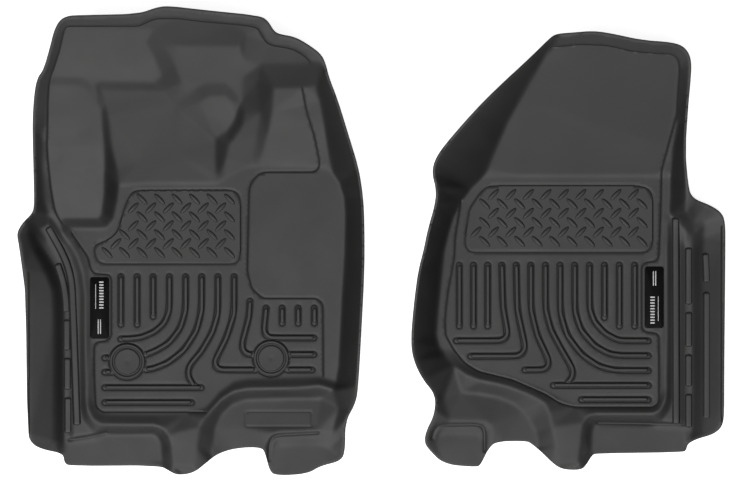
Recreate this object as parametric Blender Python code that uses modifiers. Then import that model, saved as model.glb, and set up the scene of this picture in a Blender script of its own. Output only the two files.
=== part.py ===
"""Floor mat set: a driver's and a passenger's moulded floor liner.

Two trays of 3 mm thermoplastic lie side by side as they would in the vehicle. Each has a flat
floor, a toe board, a tall wall beside the tunnel, a low flap over the door sill and stepped
flanges at the back. A badge plate is set into each floor. The driver's liner carries two
quarter-turn retainers that grip the posts on the vehicle's floor.

Sizes are millimetres, turned into metres when a mesh is made. +Y points to the vehicle's front,
+X to its right, and z = 0 is the carpet that the cleats and the low flanges stand on.
"""

import math

import bmesh
import bpy
from mathutils import Vector
from mathutils.geometry import delaunay_2d_cdt

MM = 0.001
SET_SHIFT = Vector((6.2, -13.5, 0.0))   # puts the origin under the middle of the whole set

WALL = 3.0               # thickness of the moulded sheet
FLOOR = 12.0             # top of the floor above the carpet
CREST = 20.0             # top of the bead that rings the floor at the back
SILL_BEAD = 16.0         # the same bead along the door side
LEDGE = 9.0              # narrow ledge outside the bead, door side
SHELF = 4.0              # low shelf at the back, tunnel side
STRIP = 3.0              # low strips and pockets at the back
STEEPEST = 0.4           # the upward part of a normal on the steepest wall that keeps its full thickness
GAP = 0.3                # clearance between pieces that touch
RIM_LIP = 5.0            # width of the flat lip on top of a wall

BADGE_SIZE = (33.0, 107.0)
BADGE_THICK = 1.5
BADGE_RECESS = 1.2
BADGE_CORNER = 3.5
DRIVER_BADGE = (-481.5, -102.0)
PASSENGER_BADGE = (488.5, -83.5)

RIB_WIDTH = 9.4
RIB_RISE = 1.6
HEEL_PAD_RISE = 0.8

CLEAT_TOP_RADIUS = 5.0
CLEAT_TIP_RADIUS = 2.5

RETAINER_CENTRES = {"outer": (-433.3, -195.8), "inner": (-181.6, -190.1)}
SEAT_RADIUS = 33.0
POST_HOLE_RADIUS = 21.3
BEZEL_RADIUS = 30.8
CAP_RADIUS = 24.0
HUB_RADIUS = 17.7
HUB_BORE = 15.5
SPIGOT_RADIUS = 21.0
SPIGOT_BORE = 18.2
BACKING_RADIUS = 29.0
LOCK_RADIUS = 20.5
LOCK_SLOT = (26.0, 12.0)
SPIGOT_END = 5.2         # underside of the bezel's spigot
HUB_END = 4.6            # underside of the cap's hub
BACKING_HEIGHTS = (5.6, 6.4, 8.7)
LOCK_HEIGHTS = (2.2, 4.3)
BEZEL_RISE = 3.4         # the bezel's top above its seat
CAP_RISE = 3.2           # the cap's top above the same seat
CAP_CLEARANCE = 0.8      # round the cap, inside the bezel

PLASTIC = ((0.075, 0.076, 0.078), 0.55, 0.0)
CAP_PLASTIC = ((0.062, 0.063, 0.065), 0.5, 0.0)
LOCK_PLASTIC = ((0.03, 0.03, 0.032), 0.45, 0.0)
BADGE_BLACK = ((0.008, 0.008, 0.009), 0.35, 0.0)

# ---------------------------------------------------------------- driver's liner, in plan and height
DRIVER_FRONT_RIM = [
    (-597, 200, 84), (-596, 240, 98), (-592, 280, 118), (-586, 301, 130), (-577, 311, 134),
    (-565, 350, 150),
    (-556, 386, 164), (-540, 406, 172), (-500, 407, 174), (-410, 409, 174), (-380, 420, 178),
    (-360, 423, 180),
    (-300, 416, 178), (-200, 406, 172), (-186, 398, 166), (-175, 379, 158), (-165, 374, 154),
    (-140, 370, 152),
    (-118, 358, 148), (-93, 340, 142)]
DRIVER_TUNNEL_RIM = [
    (-85, 322, 138), (-80, 300, 133), (-65, 262, 124), (-46, 200, 114), (-28, 142, 108), (-20, 90, 104),
    (-18, 40, 102), (-18, -38, 98), (-24, -153, 90), (-29, -238, 70), (-33, -268, 50)]
DRIVER_REAR_RIM = [
    (-52, -301, 22), (-52, -357, 12), (-62, -371, 8), (-96, -379, 4), (-118, -393, STRIP),
    (-175, -396, STRIP),
    (-185, -386, STRIP), (-192, -357, 8), (-198, -346, 9), (-241, -347, SHELF), (-275, -357, SHELF),
    (-296, -374, 12), (-317, -391, 15), (-345, -395, 15), (-359, -388, 12), (-376, -378, STRIP),
    (-533, -379, STRIP), (-544, -374, STRIP), (-545, -357, STRIP)]
DRIVER_SILL_RIM = [
    (-580, -350, 26), (-599, -340, 38), (-607, -323, 43), (-610, -81, 45), (-616, -34, 48),
    (-622, 10, 54),
    (-625, 25, 57), (-622, 36, 59), (-612, 50, 62)]
DRIVER_SIDE_RIM = [(-600, 61, 62), (-595, 72, 62), (-595, 100, 62)]

DRIVER_FORMS = {
    "border": [
        (-548, 54, 31), (-558, 70, 34), (-563, 90, 38), (-567, 120, 45), (-572, 180, 62), (-571, 230, 82),
        (-566, 286, 109), (-563, 300, 118), (-548, 345, 138), (-541, 376, 152), (-533, 388, 158),
        (-410, 388, 160), (-381, 401, 167), (-340, 401, 168), (-240, 391, 163), (-203, 383, 158),
        (-190, 361, 147), (-180, 355, 144), (-145, 349, 141), (-130, 342, 138), (-114, 326, 131)],
    "pedal_edge": [
        (-566, 286, 109), (-514, 286, 109), (-500, 276, 104), (-484, 252, 92), (-475, 232, 83),
        (-471, 180, 62),
        (-470, 140, 50), (-471, 100, 40), (-475, 62, 32), (-482, 54, 31), (-548, 54, 31)],
    "pedal_foot": [
        (-563, 300, 118), (-508, 299, 118), (-488, 283, 110), (-470, 256, 90), (-466, 235, 77),
        (-461, 180, 52),
        (-452, 140, 30), (-450, 112, FLOOR), (-454, 80, FLOOR), (-460, 52, FLOOR), (-472, 38, FLOOR),
        (-530, 38, FLOOR)],
    "toe_ledge": [
        (-508, 299, 118), (-480, 292, 114), (-385, 290, 115), (-372, 302, 120), (-384, 332, 133),
        (-398, 358, 145), (-409, 384, 157)],
    "toe_ledge_foot": [(-476, 279, 103), (-370, 277, 103), (-352, 252, 88), (-338, 240, 80)],
    "valley_side": [(-384, 384, 156), (-366, 352, 134), (-349, 325, 120), (-336, 292, 103),
                    (-325, 270, 92)],
    "toe_brow": [(-366, 352, 134), (-345, 355, 132), (-235, 354, 130), (-224, 372, 150)],
    "hollow_edge": [
        (-325, 270, 92), (-312, 280, 97), (-290, 290, 101), (-262, 290, 101), (-244, 276, 95),
        (-232, 258, 86),
        (-228, 240, 64)],
    "hollow_foot": [
        (-338, 240, 80), (-322, 250, 81), (-305, 257, 81), (-288, 267, 84), (-262, 268, 84),
        (-250, 257, 80),
        (-240, 242, 76), (-244, 222, 66), (-256, 205, 58), (-274, 195, 52), (-278, 160, 34),
        (-276, 128, 16)],
    "crease_foot": [(-228, 240, 64), (-234, 216, 48), (-256, 186, 33), (-262, 160, 21),
                    (-262, 126, FLOOR)],
    "toe_middle_side": [(-224, 372, 150), (-228, 330, 120), (-230, 300, 106), (-232, 258, 86)],
    "toe_fold": [(-452, 140, 30), (-415, 152, 33), (-350, 170, 42), (-276, 190, 52)],
    "toe_start": [(-450, 112, FLOOR), (-400, 116, FLOOR), (-276, 116, FLOOR), (-262, 126, FLOOR),
                  (-218, 146, FLOOR), (-205, 146, FLOOR), (-100, 144, FLOOR), (-84, 148, 14)],
    "strip_side": [(-205, 292, 94), (-200, 240, 60), (-206, 200, 38), (-214, 160, 19),
                   (-218, 146, FLOOR)],
    "low_plane_side": [(-177, 283, 68), (-180, 240, 49), (-188, 200, 32), (-200, 160, 16),
                       (-205, 146, FLOOR)],
    "low_plane_top": [(-205, 292, 94), (-177, 283, 68), (-120, 284, 68), (-100, 288, 76)],
    "step_top": [(-205, 292, 94), (-198, 322, 121), (-130, 322, 124), (-114, 326, 131)],
    "front_tunnel_foot": [
        (-100, 288, 76), (-94, 262, 66), (-86, 220, 46), (-80, 180, 29), (-84, 148, 14),
        (-70, 134, FLOOR),
        (-58, 116, FLOOR), (-50, 92, FLOOR), (-48, 60, FLOOR), (-49, 0, FLOOR), (-55, -100, FLOOR),
        (-60, -200, FLOOR), (-66, -234, FLOOR)],
    "bead_inner": [
        (-530, 38, FLOOR), (-522, 20, FLOOR), (-509, -2, FLOOR), (-500, -30, FLOOR), (-499, -60, FLOOR),
        (-499, -160, FLOOR), (-490, -180, FLOOR), (-490, -270, FLOOR), (-482, -285, FLOOR),
        (-460, -289, FLOOR), (-385, -289, FLOOR), (-330, -287, FLOOR), (-292, -276, FLOOR),
        (-270, -250, FLOOR), (-246, -232, FLOOR), (-222, -227, FLOOR), (-100, -224, FLOOR),
        (-66, -234, FLOOR)],
    "side_crest": [
        (-583, 200, 72), (-583, 140, 54), (-580, 90, 44), (-572, 60, 34), (-548, 26, 20),
        (-535, 10, SILL_BEAD),
        (-522, -10, SILL_BEAD), (-512, -40, SILL_BEAD), (-507, -80, SILL_BEAD), (-506, -255, 18),
        (-504, -278, CREST), (-495, -296, CREST), (-476, -307, CREST), (-385, -308, CREST),
        (-372, -313, CREST), (-363, -325, CREST), (-357, -345, 18), (-354, -380, 15)],
    "ledge_inner": [
        (-571, 46, 14), (-556, 27, 10), (-542, 6, LEDGE), (-530, -16, LEDGE), (-520, -44, LEDGE),
        (-515, -80, LEDGE), (-514, -278, LEDGE), (-508, -302, LEDGE), (-490, -322, LEDGE),
        (-528, -327, LEDGE)],
    "ledge_outer": [
        (-582, 40, 15), (-566, 16, 10), (-554, -2, LEDGE), (-541, -26, LEDGE), (-532, -52, LEDGE),
        (-528, -88, LEDGE), (-528, -327, LEDGE)],
    "gutter_inner": [
        (-590, 38, 17), (-573, 12, 9), (-561, -6, 7), (-548, -28, 5), (-538, -54, 5), (-534, -88, 5),
        (-534, -332, 5)],
    "gutter_outer": [
        (-597, 30, 24), (-584, 2, 12), (-572, -16, 9), (-560, -36, 7), (-550, -62, 5), (-546, -100, 5),
        (-546, -338, 4)],
    "flap_shoulder": [
        (-606, 32, 46), (-598, 4, 40), (-586, -18, 36), (-573, -42, 34), (-562, -70, 32),
        (-559, -110, 32),
        (-559, -336, 26)],
    "rear_drop_foot": [
        (-538, -342, STRIP), (-526, -337, STRIP), (-486, -333, STRIP), (-470, -323, STRIP),
        (-390, -322, STRIP),
        (-379, -328, STRIP), (-373, -340, STRIP), (-371, -370, STRIP)],
    "shelf_crest": [
        (-316, -384, 15), (-311, -345, 18), (-306, -310, CREST), (-298, -295, CREST), (-284, -277, CREST),
        (-268, -261, CREST), (-248, -249, CREST), (-222, -244, CREST), (-150, -243, CREST),
        (-97, -238, CREST),
        (-72, -246, CREST)],
    "shelf_foot": [
        (-288, -360, SHELF), (-284, -340, SHELF), (-280, -312, SHELF), (-269, -288, SHELF),
        (-252, -272, SHELF), (-228, -263, SHELF), (-150, -260, SHELF), (-96, -260, SHELF),
        (-62, -276, 14)],
    "pocket_ridge": [
        (-190, -338, 9), (-178, -322, 11), (-168, -318, 11), (-95, -317, 11), (-74, -322, 11),
        (-60, -330, 12)],
    "pocket_foot": [
        (-180, -388, STRIP), (-178, -350, STRIP), (-170, -343, STRIP), (-95, -342, STRIP), (-78, -348, 4),
        (-66, -360, 6)],
    "label_panel": [(-230, -312, 7), (-104, -312, 9)],
}

DRIVER_HEEL_PAD = [
    (-415, 104), (-253, 105), (-240, 100), (-235, 88), (-235, -13), (-240, -22), (-250, -25), (-474, -25),
    (-486, -20), (-491, -5), (-490, 8), (-462, 20), (-450, 32), (-443, 55), (-438, 75), (-430, 93),
    (-424, 101)]

# ---------------------------------------------------------------- passenger's liner, in plan and height
PASSENGER_FRONT_RIM = [
    (314, 375, 156), (345, 377, 158), (380, 380, 160), (413, 375, 158), (463, 364, 152), (521, 360, 150),
    (541, 350, 145), (551, 329, 138), (549, 290, 126), (546, 255, 112), (541, 172, 88), (546, 115, 76)]
PASSENGER_SILL_RIM = [
    (552, 90, 68), (587, 77, 58), (607, 63, 53), (612, 44, 50), (612, 0, 47), (610, -228, 43),
    (610, -277, 42),
    (609, -301, 40), (603, -314, 37), (589, -324, 32), (564, -331, 20)]
PASSENGER_REAR_RIM = [
    (547, -340, STRIP), (545, -351, STRIP), (539, -355, STRIP), (386, -357, STRIP), (380, -360, 4),
    (369, -378, 12),
    (360, -386, 15), (328, -385, 15), (312, -375, 14), (292, -355, 8), (274, -340, SHELF),
    (265, -335, SHELF), (212, -336, 6), (199, -348, 5), (185, -377, STRIP), (178, -381, STRIP),
    (120, -376, STRIP), (95, -351, 8), (86, -338, 11), (89, -318, 13), (104, -289, 20)]
PASSENGER_TUNNEL_RIM = [
    (106, -254, 34), (83, -227, 54), (67, -194, 75), (62, -161, 88), (67, -99, 98), (75, -37, 104),
    (85, 0, 110),
    (91, 32, 118), (105, 81, 138), (106, 106, 150), (99, 131, 160), (102, 152, 166), (116, 176, 172),
    (166, 234, 184), (207, 276, 184), (273, 337, 170), (302, 366, 160)]

PASSENGER_FORMS = {
    "border": [
        (306, 352, 137), (360, 357, 141), (405, 355, 140), (446, 345, 134), (492, 341, 132),
        (517, 339, 130),
        (527, 331, 126), (530, 317, 118), (526, 240, 72), (512, 180, 38), (502, 139, 16),
        (501, 125, FLOOR)],
    "front_tunnel_foot": [
        (306, 352, 137), (293, 340, 130), (273, 304, 110), (252, 266, 88), (228, 222, 62), (208, 175, 36),
        (194, 140, 16), (184, 126, FLOOR), (164, 106, FLOOR), (148, 86, FLOOR), (133, 57, FLOOR),
        (124, 26, FLOOR), (118, 0, FLOOR), (108, -99, FLOOR), (104, -149, FLOOR), (110, -172, FLOOR),
        (122, -188, 14)],
    "toe_start": [(184, 126, FLOOR), (250, 129, FLOOR), (490, 129, FLOOR), (501, 125, FLOOR)],
    "door_wall_foot": [
        (518, 62, FLOOR), (520, 100, FLOOR), (521, 130, FLOOR), (524, 172, 38), (532, 220, 64)],
    "door_wall_top": [(541, 62, 52), (539, 84, 64), (538, 108, 72), (535, 172, 84), (540, 222, 96)],
    "bead_inner": [
        (501, 125, FLOOR), (502, 60, FLOOR), (504, 0, FLOOR), (505, -25, FLOOR), (505, -145, FLOOR),
        (499, -160, FLOOR), (498, -262, FLOOR), (490, -273, FLOOR), (470, -274, FLOOR),
        (350, -273, FLOOR),
        (322, -262, FLOOR), (296, -248, FLOOR), (240, -226, FLOOR), (182, -213, FLOOR),
        (155, -200, FLOOR),
        (136, -178, FLOOR), (126, -150, FLOOR)],
    "side_crest": [
        (515, 64, FLOOR), (511, 44, 14), (510, 10, SILL_BEAD), (510, -240, 17), (508, -262, CREST),
        (500, -280, CREST), (482, -288, CREST), (385, -288, CREST), (373, -292, CREST),
        (366, -303, CREST),
        (362, -330, 19), (356, -376, 15)],
    "ledge_inner": [
        (524, 57, 12), (520, 42, 10), (519, 10, LEDGE), (519, -262, LEDGE), (512, -284, LEDGE),
        (497, -301, LEDGE), (536, -303, LEDGE)],
    "ledge_outer": [(538, 58, 20), (536, 42, 12), (535, 10, LEDGE), (535, -200, LEDGE),
                    (536, -303, LEDGE)],
    "gutter_inner": [(546, 52, 30), (543, 36, 12), (542, 8, 6), (541, -200, 5), (542, -308, 5)],
    "gutter_outer": [(556, 46, 34), (556, 24, 16), (556, 0, 8), (556, -60, 6), (556, -318, 5)],
    "flap_shoulder": [(574, 46, 40), (572, 20, 32), (570, -10, 28), (570, -60, 26), (570, -318, 22)],
    "rear_drop_foot": [
        (540, -316, STRIP), (530, -313, STRIP), (495, -312, STRIP), (478, -303, STRIP),
        (390, -303, STRIP),
        (382, -308, STRIP), (378, -320, STRIP), (377, -352, STRIP)],
    "shelf_crest": [
        (322, -377, 15), (316, -345, 18), (310, -310, CREST), (304, -284, CREST), (296, -267, CREST),
        (273, -255, CREST), (240, -242, CREST), (215, -235, CREST), (185, -229, CREST),
        (157, -218, CREST),
        (138, -204, 18), (122, -188, 14)],
    "shelf_foot": [
        (286, -346, SHELF), (282, -318, SHELF), (272, -300, SHELF), (258, -282, SHELF),
        (240, -268, SHELF),
        (215, -258, SHELF), (180, -252, SHELF), (152, -250, 5), (118, -258, 12)],
    "pocket_ridge": [(104, -302, 15), (130, -299, 11), (195, -301, 11), (204, -307, 10), (205, -326, 8)],
    "pocket_foot": [
        (122, -372, STRIP), (109, -348, 4), (107, -332, 4), (113, -323, STRIP), (180, -324, STRIP),
        (186, -332, STRIP), (184, -358, STRIP), (179, -374, STRIP)],
}

PASSENGER_HEEL_PAD = [
    (207, 112), (463, 112), (480, 106), (486, 94), (486, 8), (480, -1), (471, -5), (170, -5),
    (160, 2), (157, 17),
    (164, 65), (168, 77), (186, 102), (196, 110)]

# ---------------------------------------------------------------- ribs: straight runs and round bends
DRIVER_RIBS = [
    [(-444.2, -43), (-444.2, -134)],
    [(-415.8, -43), (-415.8, -134)],
    [(-387.8, -43), (-387.8, -120)],
    [(-359.3, -43), (-359.3, -106), (-368, -128), (-386, -144), (-408, -153), (-427, -155.5),
    (-448, -156)],
    [(-330.9, -43), (-330.9, -106), (-340, -137), (-360, -163), (-382, -176), (-397, -181)],
    [(-302.9, -43), (-302.9, -106), (-312, -142), (-334, -176), (-362, -198), (-399, -209)],
    [(-274.5, -43), (-274.5, -112), (-284, -144), (-303, -177), (-325, -203), (-327, -220), (-318, -236),
     (-306, -240), (-287, -240)],
    [(-246.1, -43), (-246.1, -112), (-260, -155), (-280, -194), (-278, -206), (-268, -210), (-216, -210)],
    [(-218.1, -86), (-220, -118), (-232, -162), (-231, -176), (-222, -183), (-217.5, -183)],
    [(-189.7, -98), (-194, -140), (-190, -151), (-180, -154), (-103, -154)],
    [(-162.1, -98), (-162.1, -132)],
    [(-134.1, -98), (-134.1, -132)],
    [(-105.7, -98), (-105.7, -132)],
    [(-145.5, -183), (-103, -183)],
    [(-149, -210), (-106, -210)],
    [(-476, -189), (-469.5, -189)],
    [(-476, -214), (-466, -214)],
    [(-476, -241), (-300, -241)],
    [(-476, -267), (-317, -267)],
]
PASSENGER_RIBS = [
    [(147.9, -23), (147.9, -137)],
    [(172.7, -23), (172.7, -137)],
    [(197.5, -23), (197.5, -137)],
    [(222.2, -23), (224, -100), (232, -144), (229, -155), (218, -159), (139, -159)],
    [(247.4, -23), (249, -105), (263, -168), (259, -181), (248, -186), (164, -186)],
    [(273, -23), (273, -105), (284, -150), (303, -190), (304, -204), (294, -210), (259, -210)],
    [(298.6, -23), (298.6, -105), (308, -140), (325, -172), (345, -206), (346, -222), (335, -233),
    (311, -236)],
    [(324.2, -23), (324.2, -110), (336, -150), (362, -184), (392, -204), (420, -211), (482, -211)],
    [(349.8, -23), (349.8, -108), (360, -140), (384, -168), (410, -182), (430, -185), (482, -185)],
    [(375.8, -23), (375.8, -104), (384, -126), (402, -146), (425, -158), (440, -159), (482, -159)],
    [(401.9, -23), (401.9, -122)],
    [(427.9, -23), (427.9, -137)],
    [(454.7, -23), (454.7, -137)],
    [(330, -237), (482, -237)],
    [(358, -262), (482, -262)],
]

DRIVER_CLEATS = [
    (-496, 14), (-400, 60), (-300, 60), (-180, 80), (-90, 60), (-470, -90), (-360, -60), (-240, -60),
    (-120, -60), (-350, -150), (-110, -200), (-480, -260), (-380, -270), (-300, -260)]
PASSENGER_CLEATS = [
    (190, 80), (280, 60), (380, 80), (480, 60), (150, -20), (240, -60), (340, -60), (440, -60),
    (150, -170),
    (260, -200), (360, -150), (470, -180), (400, -245), (340, -255)]


def new_collection(name):
    """Link a collection of this name to the scene and return it."""
    collection = bpy.data.collections.new(name)
    bpy.context.scene.collection.children.link(collection)
    return collection


def new_material(name, finish):
    """Make a Principled material from (colour, roughness, metallic)."""
    colour, roughness, metallic = finish
    material = bpy.data.materials.new(name)
    material.use_nodes = True
    shader = material.node_tree.nodes["Principled BSDF"]
    shader.inputs["Base Color"].default_value = (*colour, 1.0)
    shader.inputs["Roughness"].default_value = roughness
    shader.inputs["Metallic"].default_value = metallic
    material.diffuse_color = (*colour, 1.0)
    return material


def mesh_object(name, collection, shape, finish=None):
    """Turn a bmesh in millimetres into an object in metres, and free the bmesh."""
    bmesh.ops.translate(shape, verts=shape.verts, vec=SET_SHIFT)
    bmesh.ops.scale(shape, verts=shape.verts, vec=(MM, MM, MM))
    mesh = bpy.data.meshes.new(name)
    shape.to_mesh(mesh)
    shape.free()
    piece = bpy.data.objects.new(name, mesh)
    collection.objects.link(piece)
    if finish:
        mesh.materials.append(new_material(name, finish))
    return piece


def mark_cutter(piece):
    """Keep a cutting or joining shape out of the model."""
    piece.hide_render = True
    piece.display_type = "WIRE"
    return piece


def add_boolean(piece, other, operation):
    """Cut or join one shape with another."""
    boolean = piece.modifiers.new(f"{operation.title()} {other.name}", "BOOLEAN")
    boolean.operation = operation
    boolean.solver = "EXACT"
    boolean.object = other


def soften(points, closed):
    """Cut every corner of a line once, so that bends come out round."""
    result = [] if closed else [points[0]]
    count = len(points)
    for index in range(count if closed else count - 1):
        here = Vector(points[index])
        after = Vector(points[(index + 1) % count])
        result.append(tuple(here.lerp(after, 0.25)))
        result.append(tuple(here.lerp(after, 0.75)))
    if not closed:
        result.append(points[-1])
    return result


def inset(points, distance):
    """Copy an open line, moved sideways to its right by a distance and kept at its height."""
    moved = []
    for index, (x, y, z) in enumerate(points):
        before = points[max(index - 1, 0)]
        after = points[min(index + 1, len(points) - 1)]
        along = Vector((after[0] - before[0], after[1] - before[1])).normalized()
        moved.append((x + along.y * distance, y - along.x * distance, z))
    return moved


def inside(point, loop):
    """Tell whether a point lies within a closed outline, by counting the edges to its right."""
    crossings = 0
    for (x1, y1, _), (x2, y2, _) in zip(loop, loop[1:] + loop[:1]):
        if (y1 > point.y) != (y2 > point.y):
            crossings += x1 + (point.y - y1) * (x2 - x1) / (y2 - y1) > point.x
    return crossings % 2 == 1


def flat_ring(centre, radius, steps=16):
    """A ring of floor-level points that keeps the floor flat round a retainer."""
    x, y = centre
    turns = [2 * math.pi * step / steps for step in range(steps + 1)]
    return [(x + radius * math.cos(turn), y + radius * math.sin(turn), FLOOR) for turn in turns]


def relief_sheet(rim, forms):
    """Stretch a triangulated sheet inside a rim, through every form line at its own height."""
    points = []
    edges = []
    for line, closed in [(rim, True)] + [(form, False) for form in forms]:
        first = len(points)
        points.extend(line)
        edges.extend((first + i, first + i + 1) for i in range(len(line) - 1))
        if closed:
            edges.append((len(points) - 1, first))
    plan = [Vector((x, y)) for x, y, z in points]
    verts, _, faces, sources, _, _ = delaunay_2d_cdt(plan, edges, [], 0, 0.01, True)
    sheet = bmesh.new()
    heights = [points[source[0]][2] for source in sources]
    corners = [sheet.verts.new((vert.x, vert.y, height)) for vert, height in zip(verts, heights)]
    for face in faces:
        if inside(sum((verts[index] for index in face), Vector((0, 0))) / 3, rim):
            sheet.faces.new([corners[index] for index in face])
    loose = [vert for vert in sheet.verts if not vert.link_faces]
    bmesh.ops.delete(sheet, geom=loose, context="VERTS")
    facing_down = [face for face in sheet.faces if signed_plan_area(face) < 0]
    bmesh.ops.reverse_faces(sheet, faces=facing_down)
    return sheet


def signed_plan_area(face):
    """Area of a triangle seen from above, below zero where it faces down."""
    a, b, c = (vert.co for vert in face.verts)
    return ((b.x - a.x) * (c.y - a.y) - (c.x - a.x) * (b.y - a.y)) / 2


def thicken_down(sheet):
    """Close a sheet with an underside one wall below it, measured square to the surface."""
    sheet.normal_update()
    drop = sheet.verts.layers.float.new("drop")
    for vert in sheet.verts:
        vert[drop] = WALL / max(vert.normal.z, STEEPEST)
    grown = bmesh.ops.extrude_face_region(sheet, geom=sheet.faces[:], use_keep_orig=True)
    for item in grown["geom"]:
        if isinstance(item, bmesh.types.BMVert):
            item.co.z = max(item.co.z - item[drop], 0.0)
    bmesh.ops.recalc_face_normals(sheet, faces=sheet.faces)


def prism(outline, low, high):
    """Stand a flat outline up as a closed block between two heights."""
    block = bmesh.new()
    corners = [block.verts.new((x, y, low)) for x, y in outline]
    base = block.faces.new(corners)
    grown = bmesh.ops.extrude_face_region(block, geom=[base])
    top = [item for item in grown["geom"] if isinstance(item, bmesh.types.BMVert)]
    bmesh.ops.translate(block, verts=top, vec=(0, 0, high - low))
    bmesh.ops.recalc_face_normals(block, faces=block.faces)
    return block


def rib_outline(path, width):
    """Give a line a width and round ends."""
    half = width / 2
    run = [Vector(point) for point in path]
    sides = ([], [])
    for index, point in enumerate(run):
        before = run[max(index - 1, 0)]
        after = run[min(index + 1, len(run) - 1)]
        along = (after - before).normalized()
        across = Vector((-along.y, along.x)) * half
        sides[0].append(point + across)
        sides[1].append(point - across)
    first_along = (run[1] - run[0]).normalized() * half
    last_along = (run[-1] - run[-2]).normalized() * half
    start = [run[0] - first_along]
    end = [run[-1] + last_along]
    return [tuple(point) for point in sides[0] + end + sides[1][::-1] + start]


def add_cone(shape, centre, low_radius, high_radius, low, high, sides):
    """Add a closed cone or cylinder to a bmesh."""
    made = bmesh.ops.create_cone(
        shape, cap_ends=True, segments=sides, radius1=low_radius, radius2=high_radius, depth=high - low)
    bmesh.ops.translate(shape, verts=made["verts"], vec=(*centre, (low + high) / 2))


def moulded_liner(name, parts, cutters, rim, forms, relief, cleats, badge, holes):
    """Mould one liner: relief sheet, thickness, ribs and pads, cleats, badge recess and post holes."""
    sheet = relief_sheet(soften(rim, True), list(forms))
    thicken_down(sheet)
    liner = mesh_object(name, parts, sheet, PLASTIC)

    for number, (outline, rise) in enumerate(relief):
        block = prism(outline, FLOOR - WALL / 2, FLOOR + rise)
        add_boolean(liner, mark_cutter(mesh_object(f"{name}_relief_{number}", cutters, block)), "UNION")

    feet = bmesh.new()
    for centre in cleats:
        add_cone(feet, centre, CLEAT_TIP_RADIUS, CLEAT_TOP_RADIUS, 0.0, FLOOR - WALL / 2, 10)
    add_boolean(liner, mark_cutter(mesh_object(f"{name}_cleats", cutters, feet)), "UNION")

    width, length = (size + 2 * GAP for size in BADGE_SIZE)
    x, y = badge
    corners = [(x - width / 2, y - length / 2), (x + width / 2, y - length / 2),
               (x + width / 2, y + length / 2), (x - width / 2, y + length / 2)]
    recess = prism(corners, FLOOR - BADGE_RECESS - GAP, FLOOR + BADGE_THICK)
    add_boolean(liner, mark_cutter(mesh_object(f"{name}_badge_recess", cutters, recess)), "DIFFERENCE")

    for number, centre in enumerate(holes):
        drill = bmesh.new()
        add_cone(drill, centre, POST_HOLE_RADIUS, POST_HOLE_RADIUS, 0.0, FLOOR + WALL, 32)
        cutter = mark_cutter(mesh_object(f"{name}_post_hole_{number}", cutters, drill))
        add_boolean(liner, cutter, "DIFFERENCE")
    return liner


def driver_liner(parts, cutters):
    """The driver's liner, with a dead pedal, two post holes and a flat panel beside the tunnel."""
    rim = DRIVER_FRONT_RIM + DRIVER_TUNNEL_RIM + DRIVER_REAR_RIM + DRIVER_SILL_RIM + DRIVER_SIDE_RIM
    forms = [*DRIVER_FORMS.values(), inset(DRIVER_TUNNEL_RIM, RIM_LIP), inset(DRIVER_SILL_RIM[2:6], RIM_LIP)]
    forms += [flat_ring(centre, SEAT_RADIUS) for centre in RETAINER_CENTRES.values()]
    relief = [(rib_outline(path, RIB_WIDTH), RIB_RISE) for path in DRIVER_RIBS]
    relief.append((DRIVER_HEEL_PAD, HEEL_PAD_RISE))
    return moulded_liner("driver_liner", parts, cutters, rim, forms, relief, DRIVER_CLEATS, DRIVER_BADGE,
                         RETAINER_CENTRES.values())


def passenger_liner(parts, cutters):
    """The passenger's liner, with one wide toe board and no retainers."""
    rim = PASSENGER_FRONT_RIM + PASSENGER_SILL_RIM + PASSENGER_REAR_RIM + PASSENGER_TUNNEL_RIM
    forms = [*PASSENGER_FORMS.values(), inset(PASSENGER_TUNNEL_RIM[1:], RIM_LIP),
             inset(PASSENGER_SILL_RIM[4:8], RIM_LIP)]
    relief = [(rib_outline(path, RIB_WIDTH), RIB_RISE) for path in PASSENGER_RIBS]
    relief.append((PASSENGER_HEEL_PAD, HEEL_PAD_RISE))
    return moulded_liner("passenger_liner", parts, cutters, rim, forms, relief, PASSENGER_CLEATS,
                         PASSENGER_BADGE, [])


def badge_plate(name, parts, centre):
    """A flat rectangular plate with rounded corners, set into its recess."""
    width, length = BADGE_SIZE
    plate = bmesh.new()
    bmesh.ops.create_cube(plate, size=1.0)
    bmesh.ops.scale(plate, verts=plate.verts, vec=(width, length, BADGE_THICK))
    upright = [edge for edge in plate.edges if abs(edge.verts[0].co.z - edge.verts[1].co.z) > BADGE_THICK / 2]
    bmesh.ops.bevel(plate, geom=upright, offset=BADGE_CORNER, segments=4, profile=0.5, affect="EDGES")
    bmesh.ops.translate(plate, verts=plate.verts, vec=(*centre, FLOOR - BADGE_RECESS + BADGE_THICK / 2))
    return mesh_object(name, parts, plate, BADGE_BLACK)


def turned(name, parts, centre, profile, finish, steps=48):
    """Turn a closed profile of (radius, height) points about an upright axis at a centre."""
    section = bmesh.new()
    corners = [section.verts.new((radius * MM, 0, height * MM)) for radius, height in profile]
    for corner, following in zip(corners, corners[1:] + corners[:1]):
        section.edges.new((corner, following))
    mesh = bpy.data.meshes.new(name)
    section.to_mesh(mesh)
    section.free()
    piece = bpy.data.objects.new(name, mesh)
    parts.objects.link(piece)
    piece.location = (Vector((*centre, 0)) + SET_SHIFT) * MM
    screw = piece.modifiers.new("Turn", "SCREW")
    screw.steps = steps
    screw.render_steps = steps
    screw.use_merge_vertices = True
    screw.merge_threshold = 0.00001
    mesh.materials.append(new_material(name, finish))
    return piece


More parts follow.
